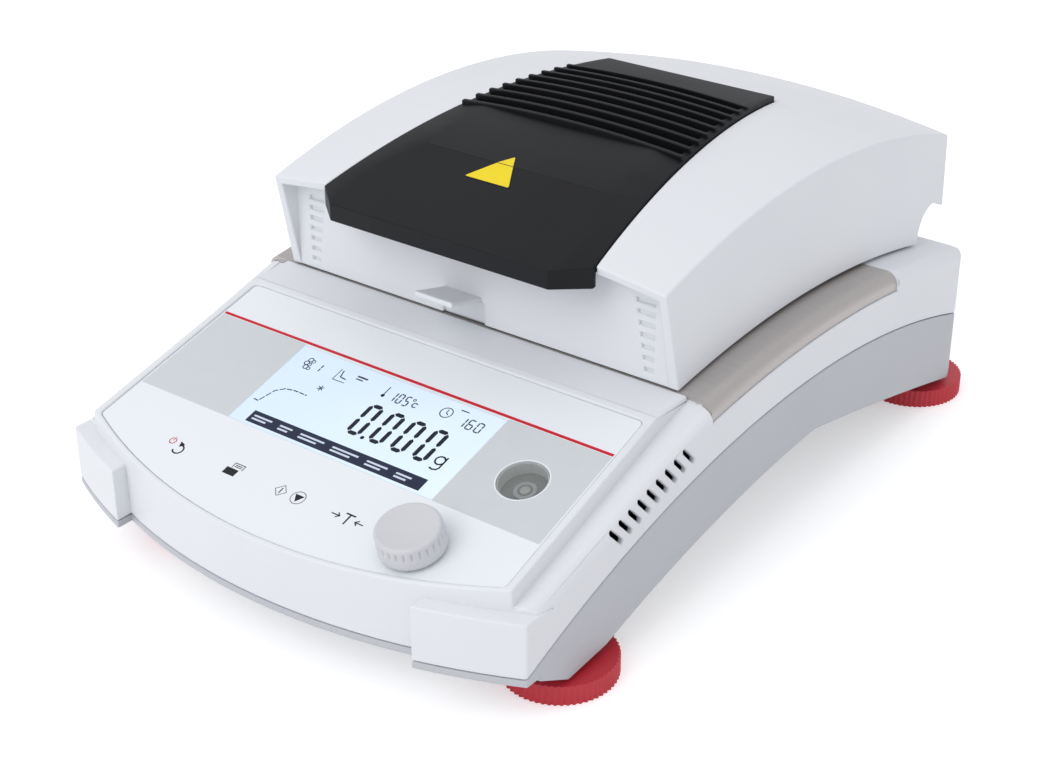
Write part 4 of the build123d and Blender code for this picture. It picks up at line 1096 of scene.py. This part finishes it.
def softBox(name, place, size, power):
    data = bpy.data.lights.new(name, "AREA")
    data.shape = "SQUARE"
    data.size = size
    data.energy = power
    lamp = bpy.data.objects.new(name, data)
    aim = Vector(studio["target"]) - Vector(place)
    turn = aim.to_track_quat("-Z", "Y").to_matrix().to_4x4()
    lamp.matrix_world = Matrix.Translation(place) @ turn
    bpy.context.collection.objects.link(lamp)


def makeStudio():
    bm = bmesh.new()
    bmesh.ops.create_grid(bm, x_segments=2, y_segments=2, size=studio["floorHalf"])
    mesh = bpy.data.meshes.new("studioFloor")
    bm.to_mesh(mesh)
    bm.free()
    floor = bpy.data.objects.new("studioFloor", mesh)
    bpy.context.collection.objects.link(floor)
    look = (studio["floorColour"], studio["floorRough"])
    material, tree, shader, place = startMaterial("whitePaperSweep", *look)
    shader.inputs["Specular IOR Level"].default_value = 0.0
    path = addNode(tree, "ShaderNodeLightPath")
    seen = addNode(
        tree,
        "ShaderNodeMath",
        {"operation": "MAXIMUM"},
        {0: path.outputs["Is Camera Ray"], 1: path.outputs["Is Glossy Ray"]},
    )
    glow = addNode(
        tree,
        "ShaderNodeMath",
        {"operation": "MULTIPLY", 1: studio["floorGlow"]},
        {0: seen.outputs[0]},
    )
    shader.inputs["Emission Color"].default_value = (1, 1, 1, 1)
    tree.links.new(glow.outputs[0], shader.inputs["Emission Strength"])
    mesh.materials.append(material)

    world = bpy.data.worlds.new("studioWorld")
    bpy.context.scene.world = world
    world.use_nodes = True
    tree = world.node_tree
    tree.nodes.clear()
    path = addNode(tree, "ShaderNodeLightPath")
    seen = addNode(
        tree,
        "ShaderNodeMath",
        {"operation": "MAXIMUM"},
        {0: path.outputs["Is Camera Ray"], 1: path.outputs["Is Transmission Ray"]},
    )
    sky = {"Color": srgb(studio["skyColour"]), "Strength": studio["ambient"]}
    ambient = addNode(tree, "ShaderNodeBackground", sky)
    backdrop = addNode(tree, "ShaderNodeBackground", {"Color": (1, 1, 1, 1), "Strength": 1.0})
    choice = addNode(
        tree,
        "ShaderNodeMixShader",
        {},
        {0: seen.outputs[0], 1: ambient.outputs[0], 2: backdrop.outputs[0]},
    )
    addNode(tree, "ShaderNodeOutputWorld", {}, {"Surface": choice.outputs[0]})
    softBox("keySoftBox", studio["keyPlace"], studio["keySize"], studio["keyPower"])
    softBox("topSoftBox", studio["topPlace"], studio["topSize"], studio["topPower"])


placeCamera()
print("camera placed")
dressNodes()
print("materials on the frame's nodes")
makeLabel()
makeDisplay()
makeKeyMarks()
print("label and display drawn")
makeLevel()
makeKnob()
print("level and knob made")
softenNodes()
print("edges rounded")
makeTriangle()
print("sticker laid")
makeStudio()
print("studio lit")
bpy.context.scene.view_settings.view_transform = "Standard"
